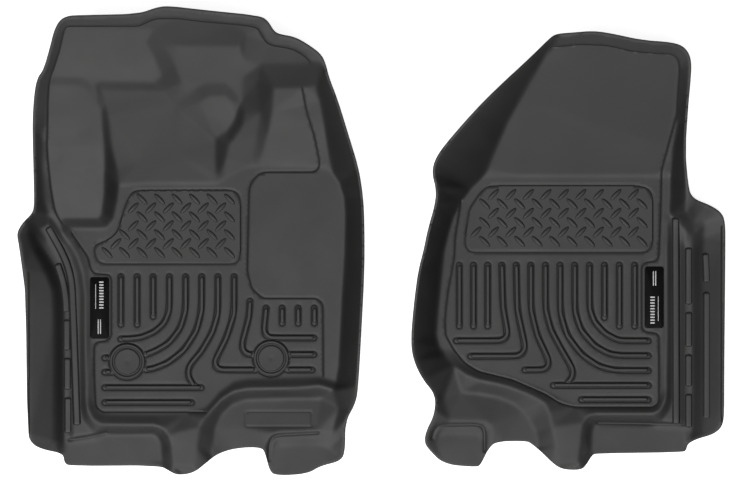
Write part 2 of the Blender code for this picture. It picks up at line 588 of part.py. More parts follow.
def turned_solid(name, parts, centre, profile, finish, steps=48):
    """Turn an open profile that starts and ends on the axis."""
    piece = turned(name, parts, centre, profile, finish, steps)
    shape = bmesh.new()
    shape.from_mesh(piece.data)
    shape.edges.ensure_lookup_table()
    shape.verts.ensure_lookup_table()
    closing = shape.edges.get((shape.verts[-1], shape.verts[0]))
    shape.edges.remove(closing)
    shape.to_mesh(piece.data)
    shape.free()
    return piece


def retainer(side, centre, parts, cutters):
    """One quarter-turn retainer: bezel above, backing ring below, turning cap and its lock plate."""
    seat = FLOOR + GAP
    well = CAP_RADIUS + CAP_CLEARANCE
    web = seat + 0.9
    turned(f"{side}_bezel", parts, centre, [
        (well, web), (well, seat + BEZEL_RISE - 0.5), (well + 0.8, seat + BEZEL_RISE),
        (BEZEL_RADIUS - 1.2, seat + BEZEL_RISE), (BEZEL_RADIUS - 0.3, seat + BEZEL_RISE - 0.6),
        (BEZEL_RADIUS, seat), (SPIGOT_RADIUS, seat), (SPIGOT_RADIUS, SPIGOT_END),
        (SPIGOT_BORE, SPIGOT_END), (SPIGOT_BORE, web)], PLASTIC)

    low, chamfer, high = BACKING_HEIGHTS
    bore = SPIGOT_RADIUS + GAP
    turned(f"{side}_backing_ring", parts, centre, [
        (bore, high), (BACKING_RADIUS, high), (BACKING_RADIUS, chamfer), (BACKING_RADIUS - 1.0, low),
        (bore, low)], LOCK_PLASTIC)

    top = seat + CAP_RISE
    turned_solid(f"{side}_cap", parts, centre, [
        (0.0, top), (CAP_RADIUS - 1.2, top), (CAP_RADIUS, top - 0.8), (CAP_RADIUS, web + GAP),
        (HUB_RADIUS, web + GAP), (HUB_RADIUS, HUB_END), (HUB_BORE, HUB_END), (HUB_BORE, seat + 1.0),
        (0.0, seat + 1.0)], CAP_PLASTIC)

    plate = bmesh.new()
    add_cone(plate, centre, LOCK_RADIUS, LOCK_RADIUS, *LOCK_HEIGHTS, 40)
    lock_plate = mesh_object(f"{side}_lock_plate", parts, plate, LOCK_PLASTIC)
    long_side, short_side = LOCK_SLOT
    x, y = centre
    reach = (long_side - short_side) / 2
    outline = rib_outline([(x - reach, y), (x + reach, y)], short_side)
    slot = prism(outline, 0.0, SPIGOT_END + WALL)
    add_boolean(lock_plate, mark_cutter(mesh_object(f"{side}_lock_slot", cutters, slot)), "DIFFERENCE")


def smooth_round_pieces(parts):
    """Shade turned pieces smooth between their sharp edges."""
    for piece in parts.objects:
        if piece.name.endswith(("_bezel", "_cap", "_backing_ring")):
            piece.data.shade_smooth()


def main():
    """Clear the scene and model every piece of the set."""
    for leftover in list(bpy.data.objects):
        bpy.data.objects.remove(leftover, do_unlink=True)
    parts = new_collection("Floor mat set")
    cutters = new_collection("Cutters")
    driver_liner(parts, cutters)
    passenger_liner(parts, cutters)
    badge_plate("driver_badge", parts, DRIVER_BADGE)
    badge_plate("passenger_badge", parts, PASSENGER_BADGE)
    for side, centre in RETAINER_CENTRES.items():
        retainer(side, centre, parts, cutters)
    smooth_round_pieces(parts)


main()
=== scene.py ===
"""Finished looks for a set of two moulded floor liners and their quarter-turn retainers.

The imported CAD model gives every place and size. Each liner is moulded again as a fine skin over
its CAD relief. Ribs, sill pads, tread and cleats are grown by node trees. The badges, bezels and
caps are modelled in mesh code, and the pieces under the floor keep their CAD shape.

Plans are lists of (x, y) in millimetres, measured from the same point as the CAD outlines.
"""

import math

import bmesh
import bpy
import numpy as np
from bpy.props import FloatProperty, FloatVectorProperty, IntProperty, PointerProperty
from bpy.types import Operator, Panel, PropertyGroup
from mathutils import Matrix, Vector
from mathutils.geometry import delaunay_2d_cdt
from mathutils.kdtree import KDTree


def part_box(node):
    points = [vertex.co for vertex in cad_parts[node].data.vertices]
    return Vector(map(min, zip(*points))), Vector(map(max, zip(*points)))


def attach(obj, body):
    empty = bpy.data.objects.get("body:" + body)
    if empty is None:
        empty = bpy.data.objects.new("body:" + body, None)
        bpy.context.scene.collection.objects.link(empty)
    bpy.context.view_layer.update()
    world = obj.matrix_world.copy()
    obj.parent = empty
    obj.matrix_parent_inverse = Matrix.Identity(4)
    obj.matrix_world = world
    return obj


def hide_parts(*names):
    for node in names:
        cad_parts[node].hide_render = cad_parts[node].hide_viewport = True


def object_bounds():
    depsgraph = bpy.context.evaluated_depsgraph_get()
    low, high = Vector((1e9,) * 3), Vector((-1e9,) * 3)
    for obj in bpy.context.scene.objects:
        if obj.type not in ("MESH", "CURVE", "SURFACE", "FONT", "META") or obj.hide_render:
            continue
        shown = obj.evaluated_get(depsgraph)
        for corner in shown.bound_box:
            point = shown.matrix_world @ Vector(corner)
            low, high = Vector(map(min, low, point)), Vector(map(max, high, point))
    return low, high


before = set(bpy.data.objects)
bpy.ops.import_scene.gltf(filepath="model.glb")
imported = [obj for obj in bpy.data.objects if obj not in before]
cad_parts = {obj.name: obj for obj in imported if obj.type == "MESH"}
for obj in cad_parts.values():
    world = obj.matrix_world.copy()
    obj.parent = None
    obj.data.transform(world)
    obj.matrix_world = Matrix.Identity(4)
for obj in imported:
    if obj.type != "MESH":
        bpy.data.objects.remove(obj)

bl_info = {
    "name": "Floor liner set",
    "version": (1, 0, 0),
    "blender": (4, 5, 0),
    "location": "3D View > Sidebar > Floor liners",
    "description": "Moulds a driver's and a passenger's floor liner over their CAD frame",
    "category": "Object",
}

MM = 0.001
CAD_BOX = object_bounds()

FLOOR = 12.0              # upper face of the floor above the carpet
WALL = 3.0                # thickness of the moulded sheet
GAP = 0.3                 # clearance between pieces that touch
STEEPEST = 0.4            # least upward part of a normal that the wall thickness follows
LEVEL = 0.99999           # upward part of a normal on a level face
FLOOR_STEPS = (10.0, 15.0)   # level faces between these heights are the floor, its ribs and its recess

POST_HOLE_RADIUS = 21.3
SPIGOT_BORE = 18.2
HUB_RADIUS = 17.7
HUB_BORE = 15.5
RING_MOAT = 32.2          # radius of the channel round a retainer
RIB_TRIM = 3.5            # how far a rib stops short of its plan line, to leave room for its channel
RIB_MOAT = 4.9            # distance of the channel beside a rib from its middle
RIB_MOAT_WIDTH = 0.95
MOAT_ROWS = (RIB_MOAT - 1.1, RIB_MOAT, RIB_MOAT + 1.1, RIB_MOAT + RIB_MOAT_WIDTH + 1.4)
CREASE_WIDTH = 2.8
CREASE_ROWS = (CREASE_WIDTH * 0.5, CREASE_WIDTH, CREASE_WIDTH * 1.6)
TREAD_INSET = 12.5        # from the heel pad's edge to where the lozenges may start
BADGE_MARGIN = 0.6        # how much wider a badge's recess is, on each side
LABEL_SHARE = 0.4         # depth of the line round the label panel, as a share of the others'

# the mesh of a liner
RIM_CORNER, GROOVE_CORNER, LABEL_CORNER = 9.0, 8.0, 2.5      # reach of the round corners of lines
RIB_CORNER, CREASE_CORNER, PAD_CORNER = 26.0, 14.0, 20.0
RIM_SPACING, LINE_SPACING, GROOVE_SPACING = 2.8, 2.2, 2.6    # distance between the points of lines
HOLE_POINTS = 72
HOLE_MARGIN = 4.0         # how much of the floor round a post hole is made level
UPPER_BEND, LOWER_BEND = 0.18, 0.6     # bend past which a face's mesh is twice as fine
UPPER_CLEAR, LOWER_CLEAR = 1.7, 3.0    # room that loose points leave beside lines
LOWER_COARSER = 1.9       # spacing of the lower face's mesh, against the upper's
RIM_THINNING = 0.6        # least thickness at the rim, against the sheet's
SHARP_FOLD = 52           # degrees between two faces that are shaded apart


def middle(node):
    """The middle of a CAD node in plan, in millimetres."""
    low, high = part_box(node)
    return np.array([low.x + high.x, low.y + high.y]) / 2 / MM


OUTER_RETAINER = (-433.3, -195.8)
PLAN_ORIGIN = middle("outer_bezel") - np.array(OUTER_RETAINER)

# ---------------------------------------------------------------- plans: the driver's liner
DRIVER_GROOVES = {
    "border": [
        (-545, 45), (-550, 50), (-558, 65), (-562, 85), (-566, 110), (-570, 150), (-572, 180), (-570, 230),
        (-569, 260), (-567, 285), (-564, 300), (-557, 318), (-548, 345), (-540, 380), (-535, 388),
        (-410, 388), (-400, 393), (-380, 401), (-340, 401), (-300, 396), (-240, 391), (-215, 388),
        (-203, 384), (-197, 374), (-190, 361), (-180, 355), (-160, 352), (-145, 349), (-130, 342),
        (-115, 330), (-112, 322)],
    "low_plane": [
        (-127, 282), (-119, 240), (-113, 222), (-105, 195), (-99, 165), (-96, 145), (-105, 136), (-190, 136),
        (-200, 134), (-210, 126), (-218, 115), (-220, 100), (-223, -38), (-215, -68), (-196, -85),
        (-101, -85), (-91, -94), (-90, -221)],
    "floor": [
        (-530, 30), (-524, 20), (-513, 4), (-502, -12), (-497, -34), (-490, -42), (-466, -43), (-461, -49),
        (-461, -153), (-471, -160), (-486, -161), (-491, -167), (-490, -226), (-488, -273), (-478, -284),
        (-295, -284)],
    "flap_edge": [(-604, -40), (-604, -322)],
}
DRIVER_HEEL_PAD = [
    (-415, 104), (-253, 105), (-240, 100), (-235, 88), (-235, -13), (-240, -22), (-250, -25), (-474, -25),
    (-486, -20), (-491, -5), (-490, 8), (-462, 20), (-450, 32), (-443, 55), (-438, 75), (-430, 93),
    (-424, 101)]
DRIVER_TREAD_START = (-506.8, -44.4)
LABEL_PANEL = [(-226, -284), (-110, -284), (-110, -310), (-226, -310)]
DRIVER_RIBS = [
    [(-444.2, -43), (-444.2, -134)],
    [(-415.8, -43), (-415.8, -134)],
    [(-387.8, -43), (-387.8, -120)],
    [(-359.3, -43), (-359.3, -106), (-368, -128), (-386, -144), (-408, -153), (-427, -155.5), (-448, -156)],
    [(-330.9, -43), (-330.9, -106), (-340, -137), (-360, -163), (-382, -176), (-397, -182), (-404, -184)],
    [(-302.9, -43), (-302.9, -106), (-312, -142), (-334, -176), (-362, -198), (-388, -208), (-404, -210)],
    [(-274.5, -43), (-274.5, -112), (-284, -144), (-303, -177), (-325, -203), (-327, -220), (-318, -236),
     (-312, -238.5)],
    [(-246.1, -43), (-246.1, -112), (-260, -155), (-280, -194), (-278, -206), (-268, -210), (-206, -210)],
    [(-218.1, -86), (-220, -118), (-232, -162), (-231, -176), (-222, -183), (-210, -183)],
    [(-189.7, -98), (-194, -140), (-190, -151), (-180, -154), (-103, -154)],
    [(-162.1, -98), (-162.1, -132)],
    [(-134.1, -98), (-134.1, -132)],
    [(-105.7, -98), (-105.7, -132)],
    [(-153, -183), (-103, -183)],
    [(-156, -210), (-106, -210)],
    [(-476, -189), (-461, -189)],
    [(-476, -214), (-457, -214)],
    [(-476, -241), (-300, -241)],
    [(-476, -267), (-317, -267)],
]
DRIVER_SILL_PADS = [
    [(-556, -24), (-546, -54), (-541, -84), (-540, -110)],
    [(-539, -122), (-539, -177)],
    [(-538, -189), (-538, -246)],
    [(-537, -258), (-537, -322)],
]

DRIVER_CREASES = [
    [(-534, -333), (-500, -328), (-470, -320)],
    [(-186, -368), (-185, -338), (-176, -325), (-100, -321)],
]
DRIVER_SILL_BEADS = [
    [(-572, 40), (-561, 20), (-549, -1), (-537, -28), (-530, -58), (-527, -132), (-524, -220), (-521, -308)],
]

# ---------------------------------------------------------------- plans: the passenger's liner
PASSENGER_GROOVES = {
    "floor": [
        (151, 86), (141, 24), (139, -16), (128, -74), (123, -120), (124, -149), (137, -173), (157, -198),
        (182, -213), (240, -227), (298, -252), (323, -268), (347, -275), (488, -275), (497, -266),
        (497, -149), (490, -145), (473, -144), (467, -136), (467, -29), (473, -22), (492, -20), (497, -12),
        (498, 17), (500, 65), (502, 139), (510, 172), (525, 230), (530, 317), (528, 331), (517, 340),
        (492, 341), (446, 345), (405, 355), (360, 357), (306, 352)],
    "flap_edge": [(605, 40), (605, -300)],
}
PASSENGER_HEEL_PAD = [
    (207, 112), (463, 112), (480, 106), (486, 94), (486, 8), (480, -1), (471, -5), (170, -5), (160, 2),
    (157, 17), (160, 36), (164, 65), (168, 77), (186, 102), (196, 110)]
PASSENGER_TREAD_START = (153.6, -26.9)
PASSENGER_RIBS = [
    [(147.9, -23), (147.9, -137)],
    [(172.7, -23), (172.7, -137)],
    [(197.5, -23), (197.5, -137)],
    [(222.2, -23), (224, -100), (232, -144), (229, -155), (218, -159), (139, -159)],
    [(247.4, -23), (249, -105), (263, -168), (259, -181), (248, -186), (164, -186)],
    [(273, -23), (273, -105), (284, -150), (303, -190), (304, -204), (294, -210), (259, -210)],
    [(298.6, -23), (298.6, -105), (308, -140), (325, -172), (345, -206), (347, -220), (336, -235)],
    [(324.2, -23), (324.2, -110), (336, -150), (362, -184), (392, -204), (420, -211), (482, -211)],
    [(349.8, -23), (349.8, -108), (360, -140), (384, -168), (410, -182), (430, -185), (482, -185)],
    [(375.8, -23), (375.8, -104), (384, -126), (402, -146), (425, -158), (440, -159), (482, -159)],
    [(401.9, -23), (401.9, -122)],
    [(427.9, -23), (427.9, -137)],
    [(454.7, -23), (454.7, -137)],
    [(309, -237), (482, -237)],
    [(358, -262), (482, -262)],
]
PASSENGER_SILL_PADS = [
    [(549, 4), (549, -97)],
    [(549, -109), (549, -171)],
    [(549, -183), (549, -240)],
    [(549, -252), (549, -312)],
]
PASSENGER_CREASES = [
    [(390, -303), (540, -306)],
    [(100, -330), (104, -316), (112, -307), (182, -306), (192, -314), (192, -352)],
]
PASSENGER_SILL_BEADS = [
    [(526, 56), (527, -306)],
    [(578, -6), (580, -58)],
    [(580, -74), (580, -296)],
]


# ---------------------------------------------------------------- settings
class LinerSettings(PropertyGroup):
    """Sizes of the moulded sheet."""
    spacing: FloatProperty(name="Mesh spacing", description="Distance between points on plain stretches",
                           default=0.0052, min=0.003, unit="LENGTH")
    fold: FloatProperty(name="Fold radius", description="How softly the planes of the toe boards meet",
                        default=0.0032, min=0.001, unit="LENGTH")
    groove_width: FloatProperty(name="Groove width", description="Width of the lines round the panels",
                                default=0.0030, unit="LENGTH")
    groove_depth: FloatProperty(name="Groove depth", description="Depth of the lines round the panels",
                                default=0.0016, unit="LENGTH")
    edge_round: FloatProperty(name="Edge round", description="Radius along the upper edge of the rim",
                              default=0.0012, unit="LENGTH")
    lip: FloatProperty(name="Lip", description="Width of the level lip along the top of a wall",
                       default=0.0042, unit="LENGTH")
    crease_depth: FloatProperty(name="Crease depth", description="Depth of the creases at the rear shelves",
                                default=0.0024, unit="LENGTH")
    pad_rise: FloatProperty(name="Heel pad rise", description="Height of the heel pad over the floor",
                            default=0.0006, unit="LENGTH")


class RibSettings(PropertyGroup):
    """Sizes of the beads on the floor and the pads beside the sill."""
    width: FloatProperty(name="Rib width", description="Width of a rib at its foot", default=0.0090,
                         unit="LENGTH")
    rise: FloatProperty(name="Rib rise", description="Height of a rib over the floor", default=0.0028,
                        unit="LENGTH")
    flank: FloatProperty(name="Flank", description="Width of a rib's sloping side in plan", default=0.0024,
                         unit="LENGTH")
    moat_depth: FloatProperty(name="Moat depth", description="Depth of the channel along both sides of a rib",
                              default=0.0016, unit="LENGTH")
    pad_width: FloatProperty(name="Pad width", description="Width of a sill pad", default=0.0172,
                             unit="LENGTH")
    pad_rise: FloatProperty(name="Pad rise", description="Height of a sill pad", default=0.0044,
                            unit="LENGTH")


class TreadSettings(PropertyGroup):
    """Sizes of the raised lozenges on the heel pads."""
    length: FloatProperty(name="Length", description="Length of a lozenge", default=0.0265, unit="LENGTH")
    width: FloatProperty(name="Width", description="Width of a lozenge", default=0.0082, unit="LENGTH")
    rise: FloatProperty(name="Rise", description="Height of a lozenge", default=0.0025, unit="LENGTH")
    slant: FloatProperty(name="Slant", description="Turn of a lozenge from the set's width",
                         default=math.radians(45), subtype="ANGLE")
    driver_pitch: FloatVectorProperty(name="Driver pitch", description="Spacing across and along the liner",
                                      size=2, default=(0.0306, 0.0312), unit="LENGTH")
    passenger_pitch: FloatVectorProperty(name="Passenger pitch", size=2, default=(0.0306, 0.0328),
                                         description="Spacing across and along the liner", unit="LENGTH")


class RetainerSettings(PropertyGroup):
    """Sizes of the turned pieces and the cleats."""
    segments: IntProperty(name="Segments", description="Faces round a turned piece", default=96, min=24)
    cleat_tip: FloatProperty(name="Cleat tip radius", description="Radius where a cleat meets the carpet",
                             default=0.0025, unit="LENGTH")
    cleat_root: FloatProperty(name="Cleat root radius", description="Radius where a cleat leaves the floor",
                              default=0.005, unit="LENGTH")


class FinishSettings(PropertyGroup):
    """Colours of the plastics."""
    liner: FloatVectorProperty(name="Liner", description="Moulded liner plastic", subtype="COLOR", size=3,
                               default=(0.026, 0.0258, 0.0252))
    cap: FloatVectorProperty(name="Cap", description="Turning cap plastic", subtype="COLOR", size=3,
                             default=(0.0255, 0.0255, 0.0255))
    lock: FloatVectorProperty(name="Lock", description="Pieces under the floor", subtype="COLOR", size=3,
                              default=(0.028, 0.028, 0.030))
    badge: FloatVectorProperty(name="Badge", description="Badge plate", subtype="COLOR", size=3,
                               default=(0.0032, 0.0032, 0.0034))
    ink: FloatVectorProperty(name="Badge marks", description="Pale marks on the badge", subtype="COLOR",
                             size=3, default=(0.62, 0.62, 0.61))


class StageSettings(PropertyGroup):
    """Floor, softbox and camera."""
    floor: FloatVectorProperty(name="Floor", description="Colour of the studio floor", subtype="COLOR",
                               size=3, default=(0.93, 0.93, 0.93))
    softbox_size: FloatVectorProperty(name="Softbox size", description="Width and length of the softbox",
                                      size=2, default=(5.0, 6.5), unit="LENGTH")
    softbox_distance: FloatProperty(name="Softbox distance", description="From the softbox to the set",
                                    default=6.0, unit="LENGTH")
    softbox_tilt: FloatProperty(name="Softbox tilt", description="Lean of the softbox towards the set's back",
                                default=math.radians(25), subtype="ANGLE")
    softbox_shift: FloatProperty(name="Softbox shift", description="From the set's middle to its left",
                                 default=0.9, unit="LENGTH")
    softbox_power: FloatProperty(name="Softbox power", description="Power of the softbox", default=420.0)
    floor_glow: FloatProperty(name="Floor glow", description="Light that the floor gives off by itself",
                              default=0.95)
    fill: FloatProperty(name="Fill", description="Strength of the light from all round", default=0.03)
    camera_height: FloatProperty(name="Camera height", description="Distance of the camera above the floor",
                                 default=20.0, unit="LENGTH")
    view_width: FloatProperty(name="View width", description="Width of floor that the camera sees",
                              default=1.3125, unit="LENGTH")


# ---------------------------------------------------------------- plan helpers, in millimetres
def placed(points):
    """Plan points moved into the CAD frame."""
    return np.array(points, float) + PLAN_ORIGIN


def rounded(points, reach, closed, steps=4):
    """Turn every corner of a line into a short curve that starts and ends at most reach away."""
    points = np.asarray(points, float)
    count = len(points)
    result = [] if closed else [points[0]]
    for index in range(0 if closed else 1, count if closed else count - 1):
        corner, before, after = points[index], points[index - 1], points[(index + 1) % count]
        back, ahead = before - corner, after - corner
        back *= min(reach / max(np.linalg.norm(back), 1e-9), 0.48)
        ahead *= min(reach / max(np.linalg.norm(ahead), 1e-9), 0.48)
        for t in np.linspace(0, 1, steps + 1):
            result.append(corner + back * (1 - t) ** 2 + ahead * t ** 2)
    if not closed:
        result.append(points[-1])
    return np.array(result)


def resampled(points, spacing, closed):
    """Space points evenly along a line."""
    if closed:
        points = np.vstack([points, points[:1]])
    run = np.concatenate([[0], np.cumsum(np.linalg.norm(np.diff(points, axis=0), axis=1))])
    count = max(int(round(run[-1] / spacing)), 2)
    stops = np.linspace(0, run[-1], count + 1)
    if closed:
        stops = stops[:-1]
    return np.column_stack([np.interp(stops, run, points[:, axis]) for axis in range(points.shape[1])])


def trimmed(points, length):
    """Shorten a line at both of its ends."""
    points = np.array(points, float)
    for end, after in ((0, 1), (-1, -2)):
        along = points[after] - points[end]
        points[end] += along / np.linalg.norm(along) * length
    return points


def sideways(points, distance, closed):
    """Move a line to its left by a distance."""
    if closed:
        along = np.roll(points, -1, axis=0) - np.roll(points, 1, axis=0)
    else:
        along = np.gradient(points, axis=0)
    along /= np.maximum(np.linalg.norm(along, axis=1, keepdims=True), 1e-9)
    return points + np.column_stack([-along[:, 1], along[:, 0]]) * distance


def plan_area(loop):
    """Area of a closed loop, above zero where it runs anticlockwise."""
    after = np.roll(loop, -1, axis=0)
    return float(np.sum(loop[:, 0] * after[:, 1] - after[:, 0] * loop[:, 1])) / 2


def inside(points, loops):
    """Tell which points lie within closed loops, by counting the edges to their right."""
    result = np.zeros(len(points), bool)
    for loop in loops:
        start, end = loop, np.roll(loop, -1, axis=0)
        for first in range(0, len(points), 20000):
            x, y = points[first:first + 20000].T[:, :, None]
            spans = (start[:, 1] > y) != (end[:, 1] > y)
            rise = np.where(end[:, 1] == start[:, 1], 1, end[:, 1] - start[:, 1])
            cut = start[:, 0] + (y - start[:, 1]) * (end[:, 0] - start[:, 0]) / rise
            result[first:first + 20000] ^= (np.sum(spans & (cut > x), axis=1) % 2 == 1)
    return result


def circle(centre, radius, count):
    """A closed circle of points."""
    turns = np.arange(count) * 2 * math.pi / count
    return np.column_stack([centre[0] + radius * np.cos(turns), centre[1] + radius * np.sin(turns)])


def rectangle(centre, size):
    """The corners of a rectangle, anticlockwise."""
    half = np.array(size) / 2
    return np.array(centre) + half * np.array([(-1, -1), (1, -1), (1, 1), (-1, 1)])


def honeycomb(low, high, spacing):
    """Points in staggered rows that cover a rectangle."""
    rows = np.arange(low[1], high[1], spacing * math.sqrt(3) / 2)
    columns = np.arange(low[0], high[0], spacing)
    x, y = np.meshgrid(columns, rows)
    x[1::2] += spacing / 2
    return np.column_stack([x.ravel(), y.ravel()])


def smoothed(points, reach, spacing, closed=False, steps=4):
    """Round a line's corners and space its points evenly."""
    return resampled(rounded(points, reach, closed, steps), spacing, closed)


def search_tree(points):
    """A tree that finds the nearest of many plan points."""
    tree = KDTree(len(points))
    for index, (x, y) in enumerate(points):
        tree.insert((x, y, 0), index)
    tree.balance()
    return tree


def distance_to(points, paths):
    """Distance from every plan point to the nearest of some lines."""
    tree = search_tree(np.vstack([resampled(path, 0.8, False) for path in paths]))
    return np.array([tree.find((x, y, 0))[2] for x, y in points])


# ---------------------------------------------------------------- relief of a CAD liner
def node_triangles(node):
    """Corners in millimetres and unit normals of a CAD node's triangles."""
    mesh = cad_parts[node].data
    mesh.calc_loop_triangles()
    places = np.empty(len(mesh.vertices) * 3, np.float32)
    mesh.vertices.foreach_get("co", places)
    order = np.empty(len(mesh.loop_triangles) * 3, np.int32)
    mesh.loop_triangles.foreach_get("vertices", order)
    corners = (places.reshape(-1, 3).astype(float) / MM)[order.reshape(-1, 3)]
    across = np.cross(corners[:, 1] - corners[:, 0], corners[:, 2] - corners[:, 0])
    size = np.linalg.norm(across, axis=1)
    real = size > 1e-6
    return corners[real], across[real] / size[real, None]


def rim_loop(node):
    """The outer edge of a CAD liner's upper face, anticlockwise in plan."""
    shape = bmesh.new()
    shape.from_mesh(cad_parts[node].data)
    bmesh.ops.remove_doubles(shape, verts=shape.verts, dist=1e-6)
    shape.normal_update()
    neighbours = {}
    for edge in shape.edges:
        rising = [face.normal.z > 0.02 for face in edge.link_faces]
        if sorted(rising) == [False, True]:
            first, second = edge.verts
            neighbours.setdefault(first, []).append(second)
            neighbours.setdefault(second, []).append(first)
    loops = []
    waiting = set(neighbours)
    while waiting:
        here = min(waiting, key=lambda vert: vert.index)
        loop = []
        while here in waiting:
            waiting.discard(here)
            loop.append((here.co.x / MM, here.co.y / MM))
            here = next((vert for vert in neighbours[here] if vert in waiting), here)
        loops.append(np.array(loop))
    shape.free()
    longest = max(loops, key=lambda loop: float(np.ptp(loop, axis=0).sum()))
    return longest if plan_area(longest) > 0 else longest[::-1]


def blurred(grid, radius):
    """Gaussian blur of a grid, by a radius in cells."""
    reach = max(int(radius * 3), 1)
    weights = np.exp(-0.5 * (np.arange(-reach, reach + 1) / radius) ** 2)
    weights /= weights.sum()
    for axis in (0, 1):
        padding = [(reach, reach) if axis == side else (0, 0) for side in (0, 1)]
        padded = np.pad(grid, padding)
        size = grid.shape[axis]
        grid = sum(weight * padded.take(range(shift, shift + size), axis=axis)
                   for shift, weight in enumerate(weights))
    return grid


class Relief:
    """Heights of a liner's upper face on a fine grid, softened as a moulding is."""

    cell = 1.5
    rim_blur = 1.0
    soft_from, soft_span = 0.62, 0.36    # covered share where the softening starts, and its span

    def __init__(self, node, rim, holes, fold):
        corners, normals = node_triangles(node)
        upper = normals[:, 2] > 0.02
        self.low = rim.min(0) - 6 * self.cell
        shape = np.ceil((rim.max(0) + 6 * self.cell - self.low) / self.cell).astype(int) + 1
        self.grid = np.full(shape, -1.0)
        for triangle, normal in zip(corners[upper], normals[upper]):
            self.cover(triangle, normal)
        self.soften(holes, fold)

    def cover(self, triangle, normal):
        """Write a triangle's height into every grid point under it."""
        level = normal[2] > LEVEL and FLOOR_STEPS[0] < triangle[0, 2] < FLOOR_STEPS[1]
        first = np.floor((triangle[:, :2].min(0) - self.low) / self.cell).astype(int)
        last = np.ceil((triangle[:, :2].max(0) - self.low) / self.cell).astype(int) + 1
        columns, rows = np.meshgrid(np.arange(first[0], last[0]), np.arange(first[1], last[1]), indexing="ij")
        x = self.low[0] + columns * self.cell
        y = self.low[1] + rows * self.cell
        within = np.ones(x.shape, bool)
        for start, end in zip(triangle, np.roll(triangle, -1, axis=0)):
            within &= (end[0] - start[0]) * (y - start[1]) - (end[1] - start[1]) * (x - start[0]) >= -1e-6
        z = triangle[0, 2] - (normal[0] * (x - triangle[0, 0]) + normal[1] * (y - triangle[0, 1])) / normal[2]
        z = np.where(level, FLOOR, z)
        block = self.grid[first[0]:last[0], first[1]:last[1]]
        block[within] = np.maximum(block, z)[within]

    def soften(self, holes, fold):
        """Fill the holes at floor height and round the folds, less so near the rim."""
        shape = self.grid.shape
        columns, rows = np.meshgrid(np.arange(shape[0]), np.arange(shape[1]), indexing="ij")
        plan = self.low + np.column_stack([columns.ravel(), rows.ravel()]) * self.cell
        within = inside(plan, holes).reshape(shape)
        self.grid[within & (self.grid < 0)] = FLOOR
        filled = (self.grid >= 0).astype(float)
        heights = self.grid * filled
        sharp = blurred(heights, self.rim_blur) / np.maximum(blurred(filled, self.rim_blur), 1e-6)
        radius = fold / self.cell
        soft = blurred(heights, radius) / np.maximum(blurred(filled, radius), 1e-6)
        depth = np.clip((blurred(filled, radius * 1.6) - self.soft_from) / self.soft_span, 0, 1)
        known = blurred(filled, self.rim_blur) > 1e-4
        self.grid = np.where(known, sharp + (soft - sharp) * depth, soft)

    def at(self, points):
        """Heights at plan points."""
        places = (np.asarray(points) - self.low) / self.cell
        places = np.clip(places, 0, np.array(self.grid.shape) - 1.001)
        cell = places.astype(int)
        u, v = (places - cell).T
        i, j = cell.T
        grid = self.grid
        return ((grid[i, j] * (1 - u) + grid[i + 1, j] * u) * (1 - v)
                + (grid[i, j + 1] * (1 - u) + grid[i + 1, j + 1] * u) * v)

    def upward(self, points):
        """Upward part of the surface's normal at plan points."""
        step = 3.0
        points = np.asarray(points)
        across = (self.at(points + (step, 0)) - self.at(points - (step, 0))) / (2 * step)
        along = (self.at(points + (0, step)) - self.at(points - (0, step))) / (2 * step)
        return 1 / np.sqrt(1 + across ** 2 + along ** 2)

    def bend(self, points, reach):
        """How far the surface leaves a straight line within a reach of plan points."""
        here = 2 * self.at(points)
        result = np.zeros(len(points))
        for offset in ((reach, 0), (0, reach), (reach * 0.7, reach * 0.7), (reach * 0.7, -reach * 0.7)):
            offset = np.array(offset)
            result = np.maximum(result, np.abs(self.at(points + offset) + self.at(points - offset) - here))
        return result / 2


# ---------------------------------------------------------------- the moulded skin
class Plan:
    """Points and lines of a surface in plan, each point with its drop below the relief."""

    def __init__(self):
        self.points = []
        self.drops = []
        self.edges = []
        self.count = 0

    def row(self, points, drop, closed=False, tied=True):
        """Add a line of points and return their indices."""
        first = self.count
        self.points.append(np.asarray(points))
        self.drops.append(np.full(len(points), drop))
        self.count += len(points)
        if tied:
            self.edges += [(index, index + 1) for index in range(first, self.count - 1)]
            if closed:
                self.edges.append((self.count - 1, first))
        return list(range(first, self.count))

    def scatter(self, points, clearance):
        """The loose points that keep clear of the lines so far."""
        tree = search_tree(np.vstack(self.points))
        free = [index for index, (x, y) in enumerate(points) if tree.find((x, y, 0))[2] > clearance]
        return points[free]

    def triangles(self, rim, holes):
        """Join the points into triangles inside the rim and outside the holes."""
        plan = np.vstack(self.points)
        verts, _, faces, sources, _, _ = delaunay_2d_cdt(
            [Vector(point) for point in plan], self.edges, [], 0, 1e-5, True)
        if any(not source for source in sources):
            raise RuntimeError("two lines of a liner's plan cross")
        faces = np.array([[sources[corner][0] for corner in face] for face in faces])
        within = inside(plan[faces].mean(axis=1), [rim, *holes])
        faces = faces[within]
        a, b, c = (plan[faces[:, corner]] for corner in range(3))
        turning = (b[:, 0] - a[:, 0]) * (c[:, 1] - a[:, 1]) - (c[:, 0] - a[:, 0]) * (b[:, 1] - a[:, 1])
        faces[turning < 0] = faces[turning < 0][:, ::-1]
        return plan, np.concatenate(self.drops), faces[np.abs(turning) > 1e-9]


def filler(relief, rim, holes, spacing, limit):
    """Honeycomb points inside a rim, twice as close where the surface bends more than a limit."""
    chosen = []
    for step, bent in ((spacing, False), (spacing / 2, True)):
        points = honeycomb(rim.min(0), rim.max(0), step)
        chosen.append(points[(relief.bend(points, spacing) >= limit) == bent])
    points = np.vstack(chosen)
    return points[inside(points, [rim, *holes])]


def beside(path, distance):
    """Points all round a line, at a distance from it."""
    sides = [sideways(path, side, False) for side in (distance, -distance)]
    return np.vstack(sides + [circle(end, distance, 12) for end in (path[0], path[-1])])


